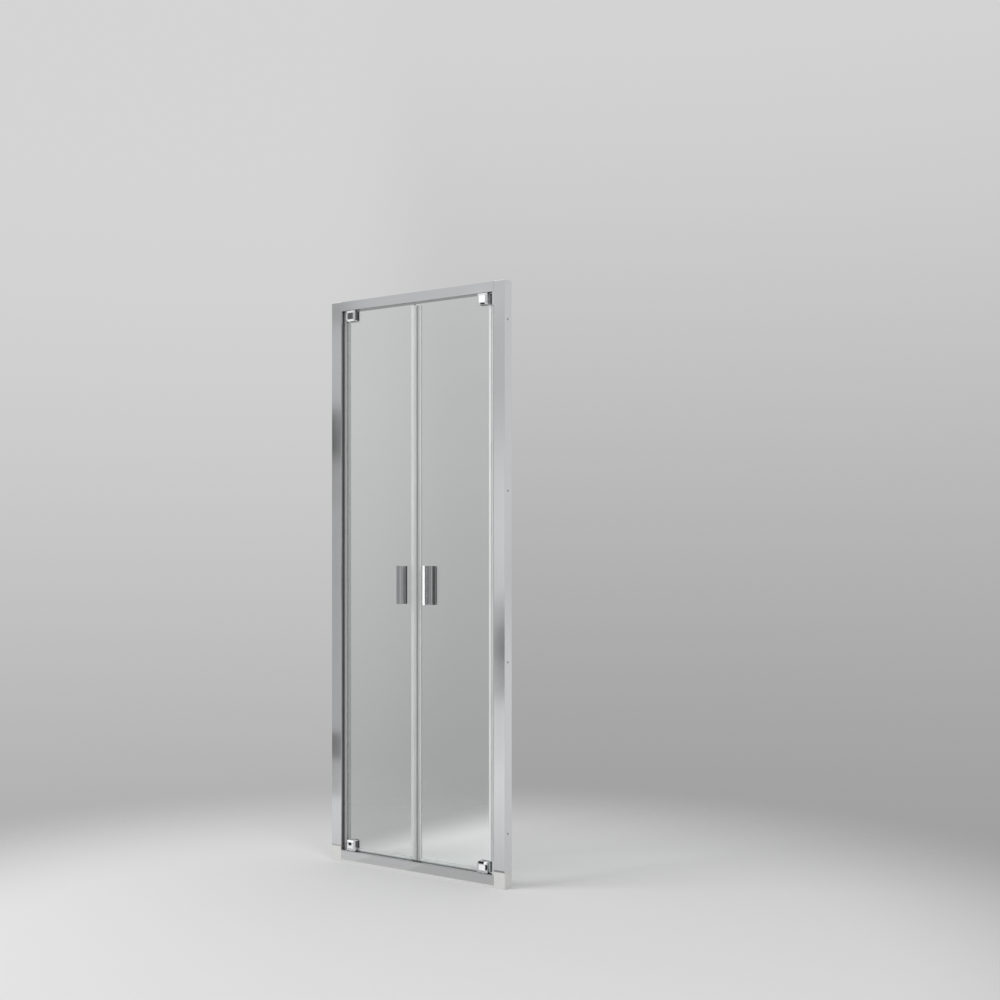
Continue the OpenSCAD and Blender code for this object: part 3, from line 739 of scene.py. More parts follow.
def outline_mesh(outlines):
    """Closed outlines, given as points across and up, as a mesh of edges"""
    bm = bmesh.new()
    for outline in outlines:
        verts = [bm.verts.new((p.x, p.y, 0.0)) for p in outline]
        for a, b in zip(verts, verts[1:] + verts[:1]):
            bm.edges.new((a, b))
    return stored(bm, bpy.data.meshes.new("outline"))


class Tree:
    """A Geometry Nodes tree under construction"""

    def __init__(self, name, inputs):
        self.group = bpy.data.node_groups.new(name, "GeometryNodeTree")
        face = self.group.interface
        face.new_socket("Geometry", in_out="INPUT", socket_type="NodeSocketGeometry")
        for title, kind in inputs.items():
            face.new_socket(title, in_out="INPUT", socket_type=f"NodeSocket{kind}")
        face.new_socket("Geometry", in_out="OUTPUT", socket_type="NodeSocketGeometry")
        self.given = self.node("NodeGroupInput").outputs
        self.done = self.node("NodeGroupOutput").inputs[0]

    def node(self, kind, settings=None, sockets=None):
        return new_node(self.group, kind, settings, sockets)

    def out(self, kind, settings=None, sockets=None, output=0):
        return self.node(kind, settings, sockets).outputs[output]

    def vector(self, operation, sockets):
        return self.out("ShaderNodeVectorMath", {"operation": operation}, sockets)

    def end(self, geometry, material):
        """Every tree ends with whole geometry in its own finish"""
        whole = self.out("GeometryNodeRealizeInstances", sockets={"Geometry": geometry})
        painted = self.out("GeometryNodeSetMaterial", sockets={"Geometry": whole, "Material": material})
        self.group.links.new(painted, self.done)


def drawn_section_tree():
    """Draws closed outlines along an upright line, with a slight wander, and closes both ends"""
    tree = Tree(
        "Drawn section",
        {
            "From": "Float",
            "To": "Float",
            "Steps": "Int",
            "Wander": "Float",
            "Seed": "Int",
            "Turn": "Vector",
            "Material": "Material",
        },
    )
    given = tree.given
    profile = tree.out("GeometryNodeMeshToCurve", sockets={"Mesh": given["Geometry"]})
    start = tree.out("ShaderNodeCombineXYZ", sockets={"Z": given["From"]})
    end = tree.out("ShaderNodeCombineXYZ", sockets={"Z": given["To"]})
    line = tree.out("GeometryNodeCurvePrimitiveLine", sockets={"Start": start, "End": end})
    path = tree.out("GeometryNodeResampleCurve", sockets={"Curve": line, "Count": given["Steps"]})
    # Noise moves the path sideways, and less and less towards its two ends
    place = tree.out("GeometryNodeInputPosition")
    noise = tree.out(
        "ShaderNodeTexNoise",
        {"noise_dimensions": "4D"},
        {"Vector": place, "W": given["Seed"], "Scale": 6.0, "Detail": 1.0},
        output=1,
    )
    centred = tree.vector("SUBTRACT", {0: noise, 1: (0.5, 0.5, 0.5)})
    level = tree.vector("MULTIPLY", {0: centred, 1: (2.0, 2.0, 0.0)})
    wander = tree.vector("SCALE", {0: level, "Scale": given["Wander"]})
    along = tree.out("GeometryNodeSplineParameter")
    from_end = tree.out("ShaderNodeMath", {"operation": "PINGPONG"}, {0: along, 1: 0.5})
    clamped = {"operation": "MULTIPLY", "use_clamp": True}
    held = tree.out("ShaderNodeMath", clamped, {0: from_end, 1: 12.0})
    offset = tree.vector("SCALE", {0: wander, "Scale": held})
    bent = tree.out("GeometryNodeSetPosition", sockets={"Geometry": path, "Offset": offset})
    facing = {"Curve": bent, "Normal": (1.0, 0.0, 0.0)}
    aligned = tree.out("GeometryNodeSetCurveNormal", {"mode": "FREE"}, facing)
    wall = tree.out("GeometryNodeCurveToMesh", sockets={"Curve": aligned, "Profile Curve": profile})
    lid = tree.out("GeometryNodeFillCurve", {"mode": "TRIANGLES"}, {"Curve": profile})
    foot = tree.out("GeometryNodeTransform", sockets={"Geometry": lid, "Translation": start})
    head = tree.out("GeometryNodeTransform", sockets={"Geometry": lid, "Translation": end})
    join = tree.node("GeometryNodeJoinGeometry")
    for part in (wall, foot, head):
        tree.group.links.new(part, join.inputs[0])
    loose = {"Geometry": join.outputs[0], "Distance": MERGE}
    whole = tree.out("GeometryNodeMergeByDistance", sockets=loose)
    spin = tree.out("FunctionNodeEulerToRotation", sockets={"Euler": given["Turn"]})
    turned = tree.out("GeometryNodeTransform", sockets={"Geometry": whole, "Rotation": spin})
    tree.end(turned, given["Material"])
    return tree.group


def set_screws_tree():
    """Sets one screw at each point, along the point's own axis, turned at random about it"""
    tree = Tree("Set screws", {"Screw": "Object", "Seed": "Int", "Material": "Material"})
    given = tree.given
    screw = tree.out("GeometryNodeObjectInfo", sockets={"Object": given["Screw"]}, output="Geometry")
    axis = tree.out("GeometryNodeInputNamedAttribute", {"data_type": "FLOAT_VECTOR"}, {"Name": "axis"})
    aligned = tree.out("FunctionNodeAlignRotationToVector", {"axis": "Z"}, {"Vector": axis})
    span = {2: 0.0, 3: 2 * math.pi, "Seed": given["Seed"]}
    angle = tree.out("FunctionNodeRandomValue", {"data_type": "FLOAT"}, span, output=1)
    about_z = {"Axis": (0.0, 0.0, 1.0), "Angle": angle}
    spin = tree.out("FunctionNodeAxisAngleToRotation", sockets=about_z)
    both = {"Rotation": aligned, "Rotate By": spin}
    turned = tree.out("FunctionNodeRotateRotation", {"rotation_space": "LOCAL"}, both)
    set_in = tree.out(
        "GeometryNodeInstanceOnPoints",
        sockets={"Points": given["Geometry"], "Instance": screw, "Rotation": turned},
    )
    tree.end(set_in, given["Material"])
    return tree.group


def run_tree(group, mesh, name, values):
    """Runs a Geometry Nodes tree on a mesh and returns the result as a plain mesh"""
    carrier = add_object(name, mesh)
    modifier = carrier.modifiers.new(group.name, "NODES")
    modifier.node_group = group
    for item in group.interface.items_tree:
        if item.in_out == "INPUT" and item.name in values:
            modifier[item.identifier] = values[item.name]
    graph = bpy.context.evaluated_depsgraph_get()
    made = bpy.data.meshes.new_from_object(carrier.evaluated_get(graph), depsgraph=graph)
    carrier.modifiers.remove(modifier)
    bpy.data.objects.remove(carrier)
    made.name = name
    return made


def close_up(mesh):
    """Merges what belongs together, turns all faces outwards and keeps the creases sharp"""
    bm = merged(mesh)
    bmesh.ops.recalc_face_normals(bm, faces=bm.faces)
    stored(bm, mesh)
    mesh.shade_smooth()
    mesh.set_sharp_from_angle(angle=math.radians(30))
    return mesh


# Screws


def hexagon(size):
    """Radius of a hexagonal socket as a function of the angle"""
    sector = math.pi / 3

    def radius(angle):
        return size * math.cos(sector / 2) / math.cos((angle % sector) - sector / 2)

    return radius


def cross(arm, width):
    """Radius of a cross recess as a function of the angle"""
    quarter = math.pi / 2

    def radius(angle):
        off = abs((angle + quarter / 2) % quarter - quarter / 2)
        return min(arm, width / max(math.sin(off), 1e-6))

    return radius


def lathe(name, rows):
    """Closed mesh round Z from rows of radius and height; a radius may be a function of the angle"""
    sides = 48
    bm = bmesh.new()
    reach = bm.verts.layers.float.new("reach")
    rings = []
    for radius, height in rows:
        ring = []
        for i in range(sides):
            angle = 2 * math.pi * i / sides
            r = radius(angle) if callable(radius) else radius
            vert = bm.verts.new((r * math.cos(angle), r * math.sin(angle), height))
            vert[reach] = r
            ring.append(vert)
        rings.append(ring)
    for lower, upper in zip(rings, rings[1:]):
        for i in range(sides):
            j = (i + 1) % sides
            bm.faces.new((lower[i], lower[j], upper[j], upper[i]))
    for ring in (rings[0], rings[-1]):
        bm.faces.new(ring)
    bmesh.ops.recalc_face_normals(bm, faces=bm.faces)
    return stored(bm, bpy.data.meshes.new(name))


def thread_rows(radius, start, end, pitch, depth):
    """Rows of a screw thread from one height to another, with a run-out at both ends"""
    rows = []
    rows_in_turn = 4
    count = max(rows_in_turn, round(abs(end - start) / pitch * rows_in_turn))
    for step in range(count + 1):
        height = start + (end - start) * step / count
        fade = min(1.0, min(step, count - step) / rows_in_turn)

        def turned(angle, height=height, fade=fade):
            phase = (height / pitch - angle / (2 * math.pi)) % 1.0
            return radius - depth * fade * (1.0 - abs(2 * phase - 1))

        rows.append((turned, height))
    return rows


def pan_screw(name, head, head_height, shank, length, pitch):
    """Self-tapping screw with a domed head and a cross recess, pointing along -Z from under its head"""
    arm = shank * 0.95
    crown = 0.62
    rim = 0.15
    rows = [
        (cross(arm * 0.45, shank * 0.2), head_height * 0.35),
        (cross(arm, shank * 0.24), head_height * 0.93),
        (head * crown, head_height),
    ]
    for step in range(5):
        angle = math.radians(20 + step * 17.5)
        radius = head * (crown + (1 - crown) * math.sin(angle))
        rows.append((radius, head_height * (rim + (1 - rim) * math.cos(angle) ** 1.2)))
    rows += [(head, head_height * 0.08), (head * 0.97, 0.0), (shank, 0.0)]
    rows += thread_rows(shank, -shank * 0.3, -(length - shank), pitch, shank * 0.3)
    rows += [(shank * 0.25, -length)]
    return lathe(name, rows)


def flush_screw(name, head, shank, length, socket, pitch):
    """Countersunk screw with a hexagonal socket, flush with its plate at Z = 0"""
    depth = head - shank
    rows = [(hexagon(socket), -depth), (hexagon(socket), -CHAMFER), (hexagon(socket * 1.08), 0.0)]
    rows += [(head * 0.97, 0.0), (head, -CHAMFER * 1.5), (shank, -depth)]
    rows += thread_rows(shank, -depth - shank, -(length - shank * 0.3), pitch, shank * 0.14)
    rows += [(shank * 0.8, -length)]
    return lathe(name, rows)


def grub_screw(name, shank, length, socket, pitch):
    """Headless screw with a hexagonal socket in its end at Z = 0"""
    rows = [(hexagon(socket), -length / 2), (hexagon(socket), -CHAMFER), (hexagon(socket * 1.1), 0.0)]
    rows += [(shank * 0.86, 0.0)]
    rows += thread_rows(shank, -CHAMFER * 3, -(length - CHAMFER * 4), pitch, shank * 0.14)
    rows += [(shank * 0.6, -length)]
    return lathe(name, rows)


def shells(node):
    """The points of each separate screw in a CAD node"""
    bm = merged(frame["nodes"][node].data)
    met = set()
    found = []
    for first in bm.verts:
        if first in met:
            continue
        met.add(first)
        todo = [first]
        shell = []
        while todo:
            vert = todo.pop()
            shell.append(vert.co.copy())
            others = {edge.other_vert(vert) for edge in vert.link_edges} - met
            met |= others
            todo += others
        found.append(shell)
    bm.free()
    return found


def measure(shell):
    """Length, place of the head end and outward axis of a screw"""
    low = Vector([min(p[i] for p in shell) for i in range(3)])
    high = Vector([max(p[i] for p in shell) for i in range(3)])
    size = high - low
    along = max(range(3), key=lambda i: size[i])
    middle = (low + high) / 2
    across = Vector([i != along for i in range(3)])
    near = size[along] * 0.06
    at_low = [((p - middle) * across).length for p in shell if p[along] < low[along] + near]
    at_high = [((p - middle) * across).length for p in shell if p[along] > high[along] - near]
    # A head is wider than a tip, and a headless screw has its socket at the head end
    if abs(max(at_high) - max(at_low)) > 2e-4:
        head_high = max(at_high) > max(at_low)
    else:
        head_high = min(at_high) < min(at_low)
    axis = Vector((0.0, 0.0, 0.0))
    axis[along] = 1.0 if head_high else -1.0
    place = middle.copy()
    place[along] = high[along] if head_high else low[along]
    return size[along], place, axis


def points_mesh(places, axes):
    """Points that each hold an axis"""
    mesh = bpy.data.meshes.new("points")
    mesh.from_pydata([tuple(p) for p in places], [], [])
    layer = mesh.attributes.new("axis", "FLOAT_VECTOR", "POINT")
    layer.data.foreach_set("vector", [c for axis in axes for c in axis])
    return mesh


def set_screws(tree, screw, found, seed, material):
    """Mesh of one kind of screw, set where the CAD has them"""
    template = add_object("screw", screw)
    places, axes = zip(*[measure(shell)[1:] for shell in found])
    values = {"Screw": template, "Seed": seed, "Material": material}
    made = run_tree(tree, points_mesh(places, axes), "screws", values)
    bpy.data.objects.remove(template)
    return made


def joined(name, meshes, material):
    """One mesh with one finish, made of several"""
    bm = bmesh.new()
    for mesh in meshes:
        bm.from_mesh(mesh)
    made = stored(bm, bpy.data.meshes.new(name))
    made.materials.append(material)
    made.shade_smooth()
    made.set_sharp_from_angle(angle=math.radians(32))
    return made


# Stage


def hide_from(piece, *rays):
    """Hides a stage object from some kinds of ray"""
    for ray in rays:
        setattr(piece, f"visible_{ray}", False)


def add_card(name, corners, brightness, through_glass=False):
    """Flat glowing card that only metal mirrors, a painted reflection of light or shade, on a free path or
    also on one that goes through glass
    """
    mesh = bpy.data.meshes.new(name)
    mesh.from_pydata(corners, [], [(0, 1, 2, 3)])
    material, finish = new_finish(name)
    glass = finish.light("Is Singular Ray")
    if through_glass:
        glass = glass * finish.light("Is Reflection Ray")
    seen = finish.turns().within() * (1.0 - glass)
    glow = finish.wire("ShaderNodeEmission", sockets={"Color": (*grey(brightness), 1.0), "Strength": 1.0})
    clear = finish.wire("ShaderNodeBsdfTransparent")
    finish.surface(finish.mixed(seen, clear, glow))
    mesh.materials.append(material)
    card = add_object(name, mesh)
    hide_from(card, "camera", "diffuse", "shadow")


def mirrored_card(eye, name, middle, half, tilt, away, brightness, turn=0.0):
    """Card that the eye sees mirrored on a patch of the door's front, tilted or turned by some degrees"""
    facing = Matrix.Rotation(math.radians(turn), 3, "Z") @ Matrix.Rotation(-math.radians(tilt), 3, "X")
    normal, right, up = (facing @ Vector(axis) for axis in ((0, -1, 0), (1, 0, 0), (0, 0, 1)))
    corners = []
    for x, z in ((-1, -1), (1, -1), (1, 1), (-1, 1)):
        place = Vector(middle) + right * (x * half[0]) + up * (z * half[1])
        ray = (place - Vector(eye)).normalized()
        corners.append(place + (ray - 2.0 * ray.dot(normal) * normal) * away)
    add_card(name, corners, brightness)


def upright_card(name, start, end, low, high, brightness, through_glass):
    """Card that stands upright between two places on the floor"""
    foot, head = [(*start, low), (*end, low)], [(*end, high), (*start, high)]
    add_card(name, foot + head, brightness, through_glass)


def flat_card(name, left, right, front, back, brightness, through_glass):
    """Card that lies just above the floor"""
    corners = [(x, y, 0.001) for x, y in ((left, front), (right, front), (right, back), (left, back))]
    add_card(name, corners, brightness, through_glass)


class SHOWERDOOR_OT_stage(bpy.types.Operator):
    """Sets up the camera, the floor, the backdrop, the lamps and the cards"""

    bl_idname = "shower_door.stage"
    bl_label = "Stage"

    def execute(self, context):
        stage = chosen(context, "stage")
        self.camera(context, stage)
        self.floor(stage)
        self.world(context, stage)
        self.lamps(stage)
        self.cards(stage)
        context.scene.view_settings.view_transform = "Standard"
        return {"FINISHED"}

    def camera(self, context, stage):
        data = bpy.data.cameras.new("Camera")
        data.lens = stage.lens
        data.sensor_width = 36.0
        data.shift_y = stage.rise
        data.clip_end = 60.0
        camera = add_object("Camera", data)
        camera.location = stage.eye
        camera.rotation_euler = (math.pi / 2, 0.0, stage.turn)
        context.scene.camera = camera

    def floor(self, stage):
        bm = bmesh.new()
        bmesh.ops.create_circle(bm, cap_ends=True, segments=96, radius=6.0)
        mesh = stored(bm, bpy.data.meshes.new("floor"))
        material, finish = new_finish("pale_floor")
        x, y, z = finish.parts(finish.place())
        # The floor fades into the backdrop with the distance from a place in front of the door
        x, y = x - 0.5, y + 0.65
        fade = ((x * x + y * y) ** 0.5).rises(1.2, 2.6)
        paper = finish.grain(60.0, detail=3.0)
        pale = grey(stage.floor)
        colour = finish.blend(paper, shade(pale, 0.985), pale)
        # Seen in mirrors, the floor is darker: painted shade in its reflections
        colour = finish.blend(finish.turns().within(), colour, shade(pale, 0.79))
        # Behind the door, and seen through its glass, the floor pales from left to right: painted shade on
        # the left and painted light on the right
        behind = finish.blend(x.rises(-1.02, -0.65), grey(0.54), grey(0.99))
        colour = finish.blend(finish.light("Is Transmission Ray") * y.rises(0.62, 0.72), colour, behind)
        plain = finish.wire("ShaderNodeBsdfDiffuse", sockets={"Color": colour})
        gone = finish.wire("ShaderNodeBsdfTransparent")
        finish.surface(finish.mixed(fade, plain, gone))
        mesh.materials.append(material)
        floor = add_object("floor", mesh)
        floor.location = (0.0, 0.0, -0.0003)

    def world(self, context, stage):
        world = bpy.data.worlds.new("Studio")
        world.use_nodes = True
        context.scene.world = world
        finish = Finish(world.node_tree)
        x, y, z = finish.parts(finish.wire("ShaderNodeTexCoord", output="Generated"))
        left = (0.0 - x).rises(0.57, 0.66)
        height = (z + left * 0.17).rises(-0.3, 0.45)
        backdrop = finish.blend(height, grey(stage.backdrop_low), grey(stage.backdrop_high))
        # Metal mirrors a studio that is lighter towards the right and grows lighter upwards
        studio = finish.blend(x.rises(-0.67, -0.55), (0.385, 0.387, 0.39), (0.69, 0.693, 0.698))
        tones = (
            (0.05, 0.12, (0.50, 0.503, 0.507)),
            (0.16, 0.20, (0.575, 0.578, 0.582)),
            (0.25, 0.75, (0.85, 0.855, 0.86)),
        )
        for low, high, tone in tones:
            studio = finish.blend(z.rises(low, high), studio, tone)
        # After a second mirror the studio is dark: painted shade between facing metal faces
        twice = (finish.turns() - 1.0).within()
        studio = finish.blend(twice, studio, grey(0.10))
        seen = (finish.light("Is Camera Ray") + finish.light("Is Transmission Ray")).within()
        colour = finish.blend(seen, grey(stage.ambient), backdrop)
        colour = finish.blend(finish.turns().within(), colour, studio)
        finish.surface(finish.wire("ShaderNodeBackground", sockets={"Color": colour, "Strength": 1.0}))

    def lamps(self, stage):
        target = Vector((0.0, 0.0, 0.9))
        rows = (
            ("main_lamp", (-2.6, -3.4, 3.3), 2.4, stage.key),
            ("second_lamp", (3.4, -2.2, 2.6), 1.6, stage.fill),
        )
        for name, place, size, power in rows:
            data = bpy.data.lights.new(name, "AREA")
            data.shape = "SQUARE"
            data.size = size
            data.energy = power
            lamp = add_object(name, data)
            lamp.location = place
            lamp.rotation_euler = (target - Vector(place)).to_track_quat("-Z", "Y").to_euler()
            hide_from(lamp, "camera", "glossy", "transmission")

    def cards(self, stage):
        # The cards paint light and shade into the reflections in the metal
        # Name, middle on the metal, half width and half height, tilt, distance, brightness and turn
        mirrored = (
            ("left_profile_shade", (-0.456, PROFILE_FRONT, 1.490), (0.144, 0.085), 0.0, 3.5, 0.04),
            ("left_profile_half", (-0.456, PROFILE_FRONT, 1.325), (0.144, 0.078), 0.0, 3.5, 0.33),
            ("left_foot_shade", (-0.456, PROFILE_FRONT, 0.400), (0.144, 0.045), 0.0, 1.2, 0.15),
            ("left_foot_half", (-0.456, PROFILE_FRONT, 0.290), (0.144, 0.062), 0.0, 1.2, 0.40),
            ("left_corner_shade", (-0.425, PROFILE_FRONT, 1.935), (0.125, 0.055), 0.0, 3.3, 0.32),
            ("right_profile_shade", (0.456, PROFILE_FRONT, 0.782), (0.144, 0.060), 0.0, 3.5, 0.12),
            ("right_profile_above", (0.456, PROFILE_FRONT, 0.885), (0.144, 0.040), 0.0, 3.5, 0.40),
            ("right_profile_below", (0.456, PROFILE_FRONT, 0.665), (0.144, 0.055), 0.0, 3.5, 0.33),
            ("left_hinge_shade", (-0.278, HINGE_FRONT, 1.8965), (0.016, 0.014), 0.0, 3.2, 0.12),
            ("left_hinge_light", (-0.278, BEVEL_MIDDLE, 1.8818), (0.014, 0.0035), -SLOPE, 0.2, 0.95),
            ("left_hinge_rim", (-0.2943, BEVEL_MIDDLE, 1.8965), (0.004, 0.013), 0.0, 0.012, 0.75, -SLOPE),
            ("right_hinge_light", (0.279, HINGE_FRONT, 1.8965), (0.016, 0.014), 0.0, 3.3, 1.25),
            ("right_hinge_spot", (0.280, BEVEL_MIDDLE, 1.8818), (0.009, 0.0038), -SLOPE, 0.8, 0.02),
            ("left_foot_spot", (-0.279, HINGE_FRONT, 0.0662), (0.0070, 0.0052), 0.0, 0.20, 0.02),
            ("left_foot_light", (-0.278, HINGE_FRONT, 0.0600), (0.0145, 0.0090), 0.0, 0.215, 0.90),
            ("left_foot_rim", (-0.278, BEVEL_MIDDLE, 0.0748), (0.0125, 0.0040), SLOPE, 0.2, 1.20),
            ("right_foot_spot", (0.2735, BEVEL_MIDDLE, 0.0748), (0.0115, 0.0045), SLOPE, 0.19, 0.02),
            ("right_foot_rim", (0.278, BEVEL_MIDDLE, 0.0748), (0.0200, 0.0060), SLOPE, 0.2, 1.10),
            ("right_foot_light", (0.278, HINGE_FRONT, 0.0600), (0.0145, 0.0090), 0.0, 0.20, 0.95),
            ("right_foot_dark", (0.2943, BEVEL_MIDDLE, 0.0610), (0.0042, 0.0085), 0.0, 0.20, 0.03, SLOPE),
            ("left_cap_line", (-0.343, PROFILE_FRONT, 0.0545), (0.0220, 0.0025), 0.0, 0.012, 0.46),
            ("right_cap_line", (0.343, PROFILE_FRONT, 0.0550), (0.0220, 0.0032), 0.0, 0.012, 0.27),
            ("left_base_shade", (-0.085, HANDLE_BASE, HANDLE_MIDDLE), (0.022, 0.090), 0.0, 3.3, 0.27),
            ("left_fin_shade", (-0.0480, FIN_FRONT, HANDLE_MIDDLE), (0.0095, 0.090), 0.0, 3.3, 0.29),
            ("right_fin_light", (0.0486, FIN_FRONT, HANDLE_MIDDLE), (0.0056, 0.090), 0.0, 3.3, 2.20),
            ("right_base_shade", (0.079, HANDLE_BASE, HANDLE_MIDDLE), (0.013, 0.090), 0.0, 3.3, 0.08),
        )
        for row in mirrored:
            mirrored_card(stage.eye, *row)
        # Name, start and end on the floor, lower and upper edge, brightness and whether seen through glass
        upright = (
            ("handle_horizon", (-0.48, -1.40), (1.30, -1.05), 0.84, 1.05, 0.26, False),
            ("handle_side", (1.30, -1.05), (1.40, 0.70), 0.84, 1.05, 0.20, False),
            ("jamb_flag", (0.20, 0.70), (0.40, 0.70), 0.002, 2.40, 0.05, True),
            ("handle_flag", (0.48, 0.70), (0.65, 0.70), 0.82, 1.06, 0.06, True),
            ("hinge_flag", (0.332, 0.694), (0.40, 0.694), 1.90, 2.20, 0.12, True),
            ("jamb_light", (0.24, 0.695), (0.322, 0.695), 0.002, 2.40, 0.40, True),
            ("rail_flag", (-0.75, 0.52), (-0.05, 0.52), 1.72, 1.85, 0.30, True),
            ("threshold_flag", (-0.71, 0.52), (-0.125, 0.52), 0.10, 0.32, 0.12, True),
            ("handle_horizon_left", (-0.92, -1.42), (-0.70, -1.42), 0.84, 1.05, 0.19, False),
            ("left_fin_glint", (0.5150, 0.695), (0.5195, 0.695), 0.75, 1.10, 0.34, True),
            ("left_fin_soft", (0.5105, 0.695), (0.5150, 0.695), 0.75, 1.10, 0.17, True),
            ("threshold_line", (-0.335, -0.030), (0.315, -0.030), 0.0348, 0.0402, 0.13, False),
        )
        for row in upright:
            upright_card(*row)
        # Name, left, right, front and back edge, brightness and whether seen through glass
        flat = (
            ("threshold_shade_left", -0.52, -0.28, -0.17, -0.035, 0.56, False),
            ("threshold_shade_middle", -0.28, -0.05, -0.17, -0.035, 0.50, False),
            ("threshold_shade_right", -0.05, 0.33, -0.17, -0.035, 0.44, False),
            ("leaf_foot_shade", -0.34, 0.30, 0.03, 0.69, 0.10, True),
        )
        for row in flat:
            flat_card(*row)


# Pieces


class SHOWERDOOR_OT_frame(bpy.types.Operator):
    """Gives the profiles, jambs and rails their bright drawn aluminium"""

    bl_idname = "shower_door.frame"
    bl_label = "Frame"

    def execute(self, context):
        colour = chosen(context, "colours").aluminium
        dress(each(SIDES, "wall_profile"), drawn_aluminium("aluminium_upright", colour, 2, wall=True))
        dress(each(SIDES, "jamb_profile"), drawn_aluminium("aluminium_jamb", colour, 2, jamb=True))
        dress(["top_rail", "threshold_rail"], drawn_aluminium("aluminium_level", colour, 0))
        return {"FINISHED"}


class SHOWERDOOR_OT_caps(bpy.types.Operator):
    """Rounds and colours the moulded caps, and colours the strip under the threshold"""

    bl_idname = "shower_door.caps"
    bl_label = "Caps"

    def execute(self, context):
        sizes = chosen(context, "sizes")
        colour = chosen(context, "colours").cap
        plastic = moulded_plastic("cap_plastic", colour)
        foot = moulded_plastic("foot_cap_plastic", colour, foot=True)
        for side in SIDES:
            soften(f"{side}_foot_cap", "moulded", sizes.cap_edge, foot)
            soften(f"{side}_top_cap", "moulded", sizes.cap_edge, plastic)
        dress(["threshold_base_strip"], plastic)
        return {"FINISHED"}


class SHOWERDOOR_OT_hinges(bpy.types.Operator):
    """Rounds and plates the hinge blocks and clamps, and finishes their pins and bushes"""

    bl_idname = "shower_door.hinges"
    bl_label = "Hinges"

    def execute(self, context):
        sizes = chosen(context, "sizes")
        colours = chosen(context, "colours")
        chrome = polished_chrome("hinge_chrome", colours.chrome)
        for corner in CORNERS:
            for part in ("hinge_block", "hinge_clamp"):
                soften(f"{corner}_{part}", "plated", sizes.chrome_edge, chrome)
        dress(each(CORNERS, "pivot_pin"), ground_steel("pin_steel", colours.steel))
        dress(each(CORNERS, "bush"), turned_nylon("bush_nylon", colours.bush))
        return {"FINISHED"}


class SHOWERDOOR_OT_handles(bpy.types.Operator):
    """Rounds and plates the handles and the plates behind them"""

    bl_idname = "shower_door.handles"
    bl_label = "Handles"

    def execute(self, context):
        sizes = chosen(context, "sizes")
        chrome = polished_chrome("handle_chrome", chosen(context, "colours").chrome)
        for side in SIDES:
            for part in ("handle", "back_plate"):
                soften(f"{side}_{part}", "plated", sizes.chrome_edge, chrome, angle=24.0)
        return {"FINISHED"}


class SHOWERDOOR_OT_glass(bpy.types.Operator):
    """Gives the leaves their clear glass, and the gaskets and pads on it their finish"""

    bl_idname = "shower_door.glass"
    bl_label = "Glass"

    def execute(self, context):
        colours = chosen(context, "colours")
        clear = clear_glass("leaf_glass", colours.glass, colours.glass_edge)
        soft = clear_plastic("gasket_plastic", colours.gasket, 2, body=0.62, gloss=0.3)
        dress(each(SIDES, "glass"), clear)
        dress(each(CORNERS, "hinge_gaskets"), soft)
        dress(each(SIDES, "handle_pads"), soft)
        return {"FINISHED"}


class SHOWERDOOR_OT_seals(bpy.types.Operator):
    """Draws the clear seals along their lengths, and finishes the magnets in them"""

    bl_idname = "shower_door.seals"
    bl_label = "Seals"

    def execute(self, context):
        self.sizes = chosen(context, "sizes")
        self.tree = drawn_section_tree()
        colours = chosen(context, "colours")
        # The two jamb seals are copies of one plastic: painted shade darkens the left one and painted light
        # brightens the right one
        jamb = {
            "left": self.plastic("left_jamb", shade(colours.seal, 0.5), 2, 0.26),
            "right": self.plastic("right_jamb", shade(colours.seal, 1.1), 2, 0.42),
        }
        seam = self.plastic("seam", shade(colours.seal, 0.95), 2, 0.33, seam=True)
        drip = self.plastic("drip", colours.seal, 0, 0.38)
        for seed, side in enumerate(SIDES, self.sizes.seed):
            self.add_seal(side, "jamb", jamb_seal_outlines, seed, jamb[side])
            self.add_seal(side, "magnet", magnet_seal_outlines, seed + 10, seam)
            self.add_seal(side, "drip", drip_seal_outlines, seed + 20, drip, level=True)
        dress(each(SIDES, "magnet_strip"), magnet_rubber("magnet_rubber", colours.magnet))
        return {"FINISHED"}

    def plastic(self, kind, colour, axis, body, seam=False):
        return clear_plastic(f"{kind}_seal_plastic", colour, axis, body, gloss=0.12, seam=seam)

    def add_seal(self, side, kind, outlines, seed, material, level=False):
        """Draws a seal from its section; an upright one on the right mirrors the section of the left"""
        node = f"{side}_{kind}_seal"
        low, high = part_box(node)
        mirror = side == "right" and not level
        if mirror:
            low.x, high.x = -high.x, -low.x
        loops = outlines((low, high), self.sizes)
        if mirror:
            loops = [[Vector((-p.x, p.y)) for p in loop] for loop in loops]
        values = {
            "From": low.x if level else low.z,
            "To": high.x if level else high.z,
            "Steps": self.sizes.seal_steps,
            "Wander": self.sizes.seal_wave,
            "Seed": seed,
            "Turn": (math.pi / 2, 0.0, math.pi / 2) if level else (0.0, 0.0, 0.0),
            "Material": material,
        }
        name = f"{node}_drawn"
        mesh = close_up(run_tree(self.tree, outline_mesh(loops), name, values))
        add_piece(name, mesh, [node])


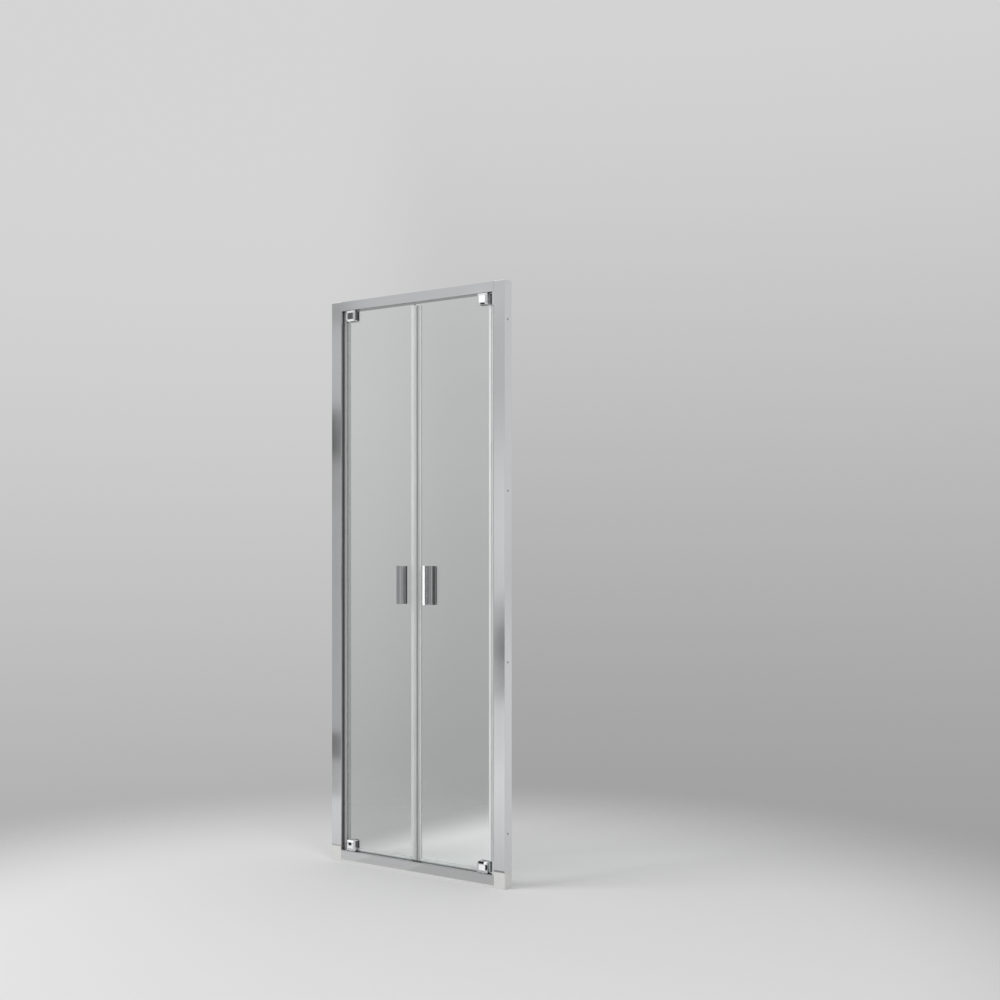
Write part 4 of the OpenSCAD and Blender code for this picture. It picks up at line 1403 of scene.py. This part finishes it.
class SHOWERDOOR_OT_screws(bpy.types.Operator):
    """Turns the screws and sets them where the CAD has them, one mesh for each body"""

    bl_idname = "shower_door.screws"
    bl_label = "Screws"

    def execute(self, context):
        sizes = chosen(context, "sizes")
        self.tree = set_screws_tree()
        self.pitch = sizes.thread_pitch
        self.seed = sizes.seed
        self.steel = turned_steel("screw_steel", chosen(context, "colours").steel)
        self.frame_screws()
        for side in SIDES:
            self.leaf_screws(side)
        return {"FINISHED"}

    def placed(self, screw, found):
        return set_screws(self.tree, screw, found, self.seed, self.steel)

    def frame_screws(self):
        head_height = 0.002
        nodes = each(SIDES, "adjusting_screws") + ["top_rail_screws", "threshold_screws"]
        meshes = []
        for node in nodes:
            found = shells(node)
            length = measure(found[0])[0] - head_height
            screw = pan_screw("pan_screw", 0.0034, head_height, 0.0018, length, self.pitch)
            screw.transform(Matrix.Translation((0.0, 0.0, -head_height)))
            meshes.append(self.placed(screw, found))
        mesh = joined("frame_screws", meshes, self.steel)
        add_piece("frame_screws_turned", mesh, nodes)

    def leaf_screws(self, side):
        longest_grub = 0.008
        fine = {"shank": 0.0025, "pitch": 0.0008}
        nodes = [f"{side}_{end}_hinge_screws" for end in ENDS] + [f"{side}_handle_screws"]
        meshes = []
        for node in nodes:
            found = shells(node)
            clamps = [shell for shell in found if measure(shell)[0] > longest_grub]
            length = measure(clamps[0])[0]
            screw = flush_screw("flush_screw", head=0.0045, length=length, socket=0.00175, **fine)
            meshes.append(self.placed(screw, clamps))
            grubs = [shell for shell in found if measure(shell)[0] <= longest_grub]
            if grubs:
                length = measure(grubs[0])[0]
                screw = grub_screw("grub_screw", length=length, socket=0.00138, **fine)
                meshes.append(self.placed(screw, grubs))
        mesh = joined(f"{side}_leaf_screws", meshes, self.steel)
        add_piece(f"{side}_leaf_screws_turned", mesh, nodes)


class SHOWERDOOR_PT_panel(bpy.types.Panel):
    """Lists the steps and settings"""

    bl_idname = "SHOWERDOOR_PT_panel"
    bl_label = "Shower door"
    bl_space_type = "VIEW_3D"
    bl_region_type = "UI"
    bl_category = "Shower door"

    def draw(self, context):
        for step in STEPS:
            self.layout.operator(step.bl_idname)
        for group in GROUPS:
            box = self.layout.box()
            box.label(text=group.title())
            held = chosen(context, group)
            for name in held.__annotations__:
                box.prop(held, name)


STEPS = (
    SHOWERDOOR_OT_stage,
    SHOWERDOOR_OT_frame,
    SHOWERDOOR_OT_caps,
    SHOWERDOOR_OT_hinges,
    SHOWERDOOR_OT_handles,
    SHOWERDOOR_OT_glass,
    SHOWERDOOR_OT_seals,
    SHOWERDOOR_OT_screws,
)
GROUPS = {"sizes": ShowerDoorSizes, "colours": ShowerDoorColours, "stage": ShowerDoorStage}


def register():
    for kind in (*GROUPS.values(), *STEPS, SHOWERDOOR_PT_panel):
        bpy.utils.register_class(kind)
    for name, group in GROUPS.items():
        setattr(bpy.types.Scene, f"shower_door_{name}", PointerProperty(type=group))


def unregister():
    for name in GROUPS:
        delattr(bpy.types.Scene, f"shower_door_{name}")
    for kind in reversed((*GROUPS.values(), *STEPS, SHOWERDOOR_PT_panel)):
        bpy.utils.unregister_class(kind)


def main():
    """Makes the stage and all pieces in order"""
    register()
    for step in STEPS:
        category, name = step.bl_idname.split(".")
        getattr(getattr(bpy.ops, category), name)()


if __name__ == "__main__":
    main()
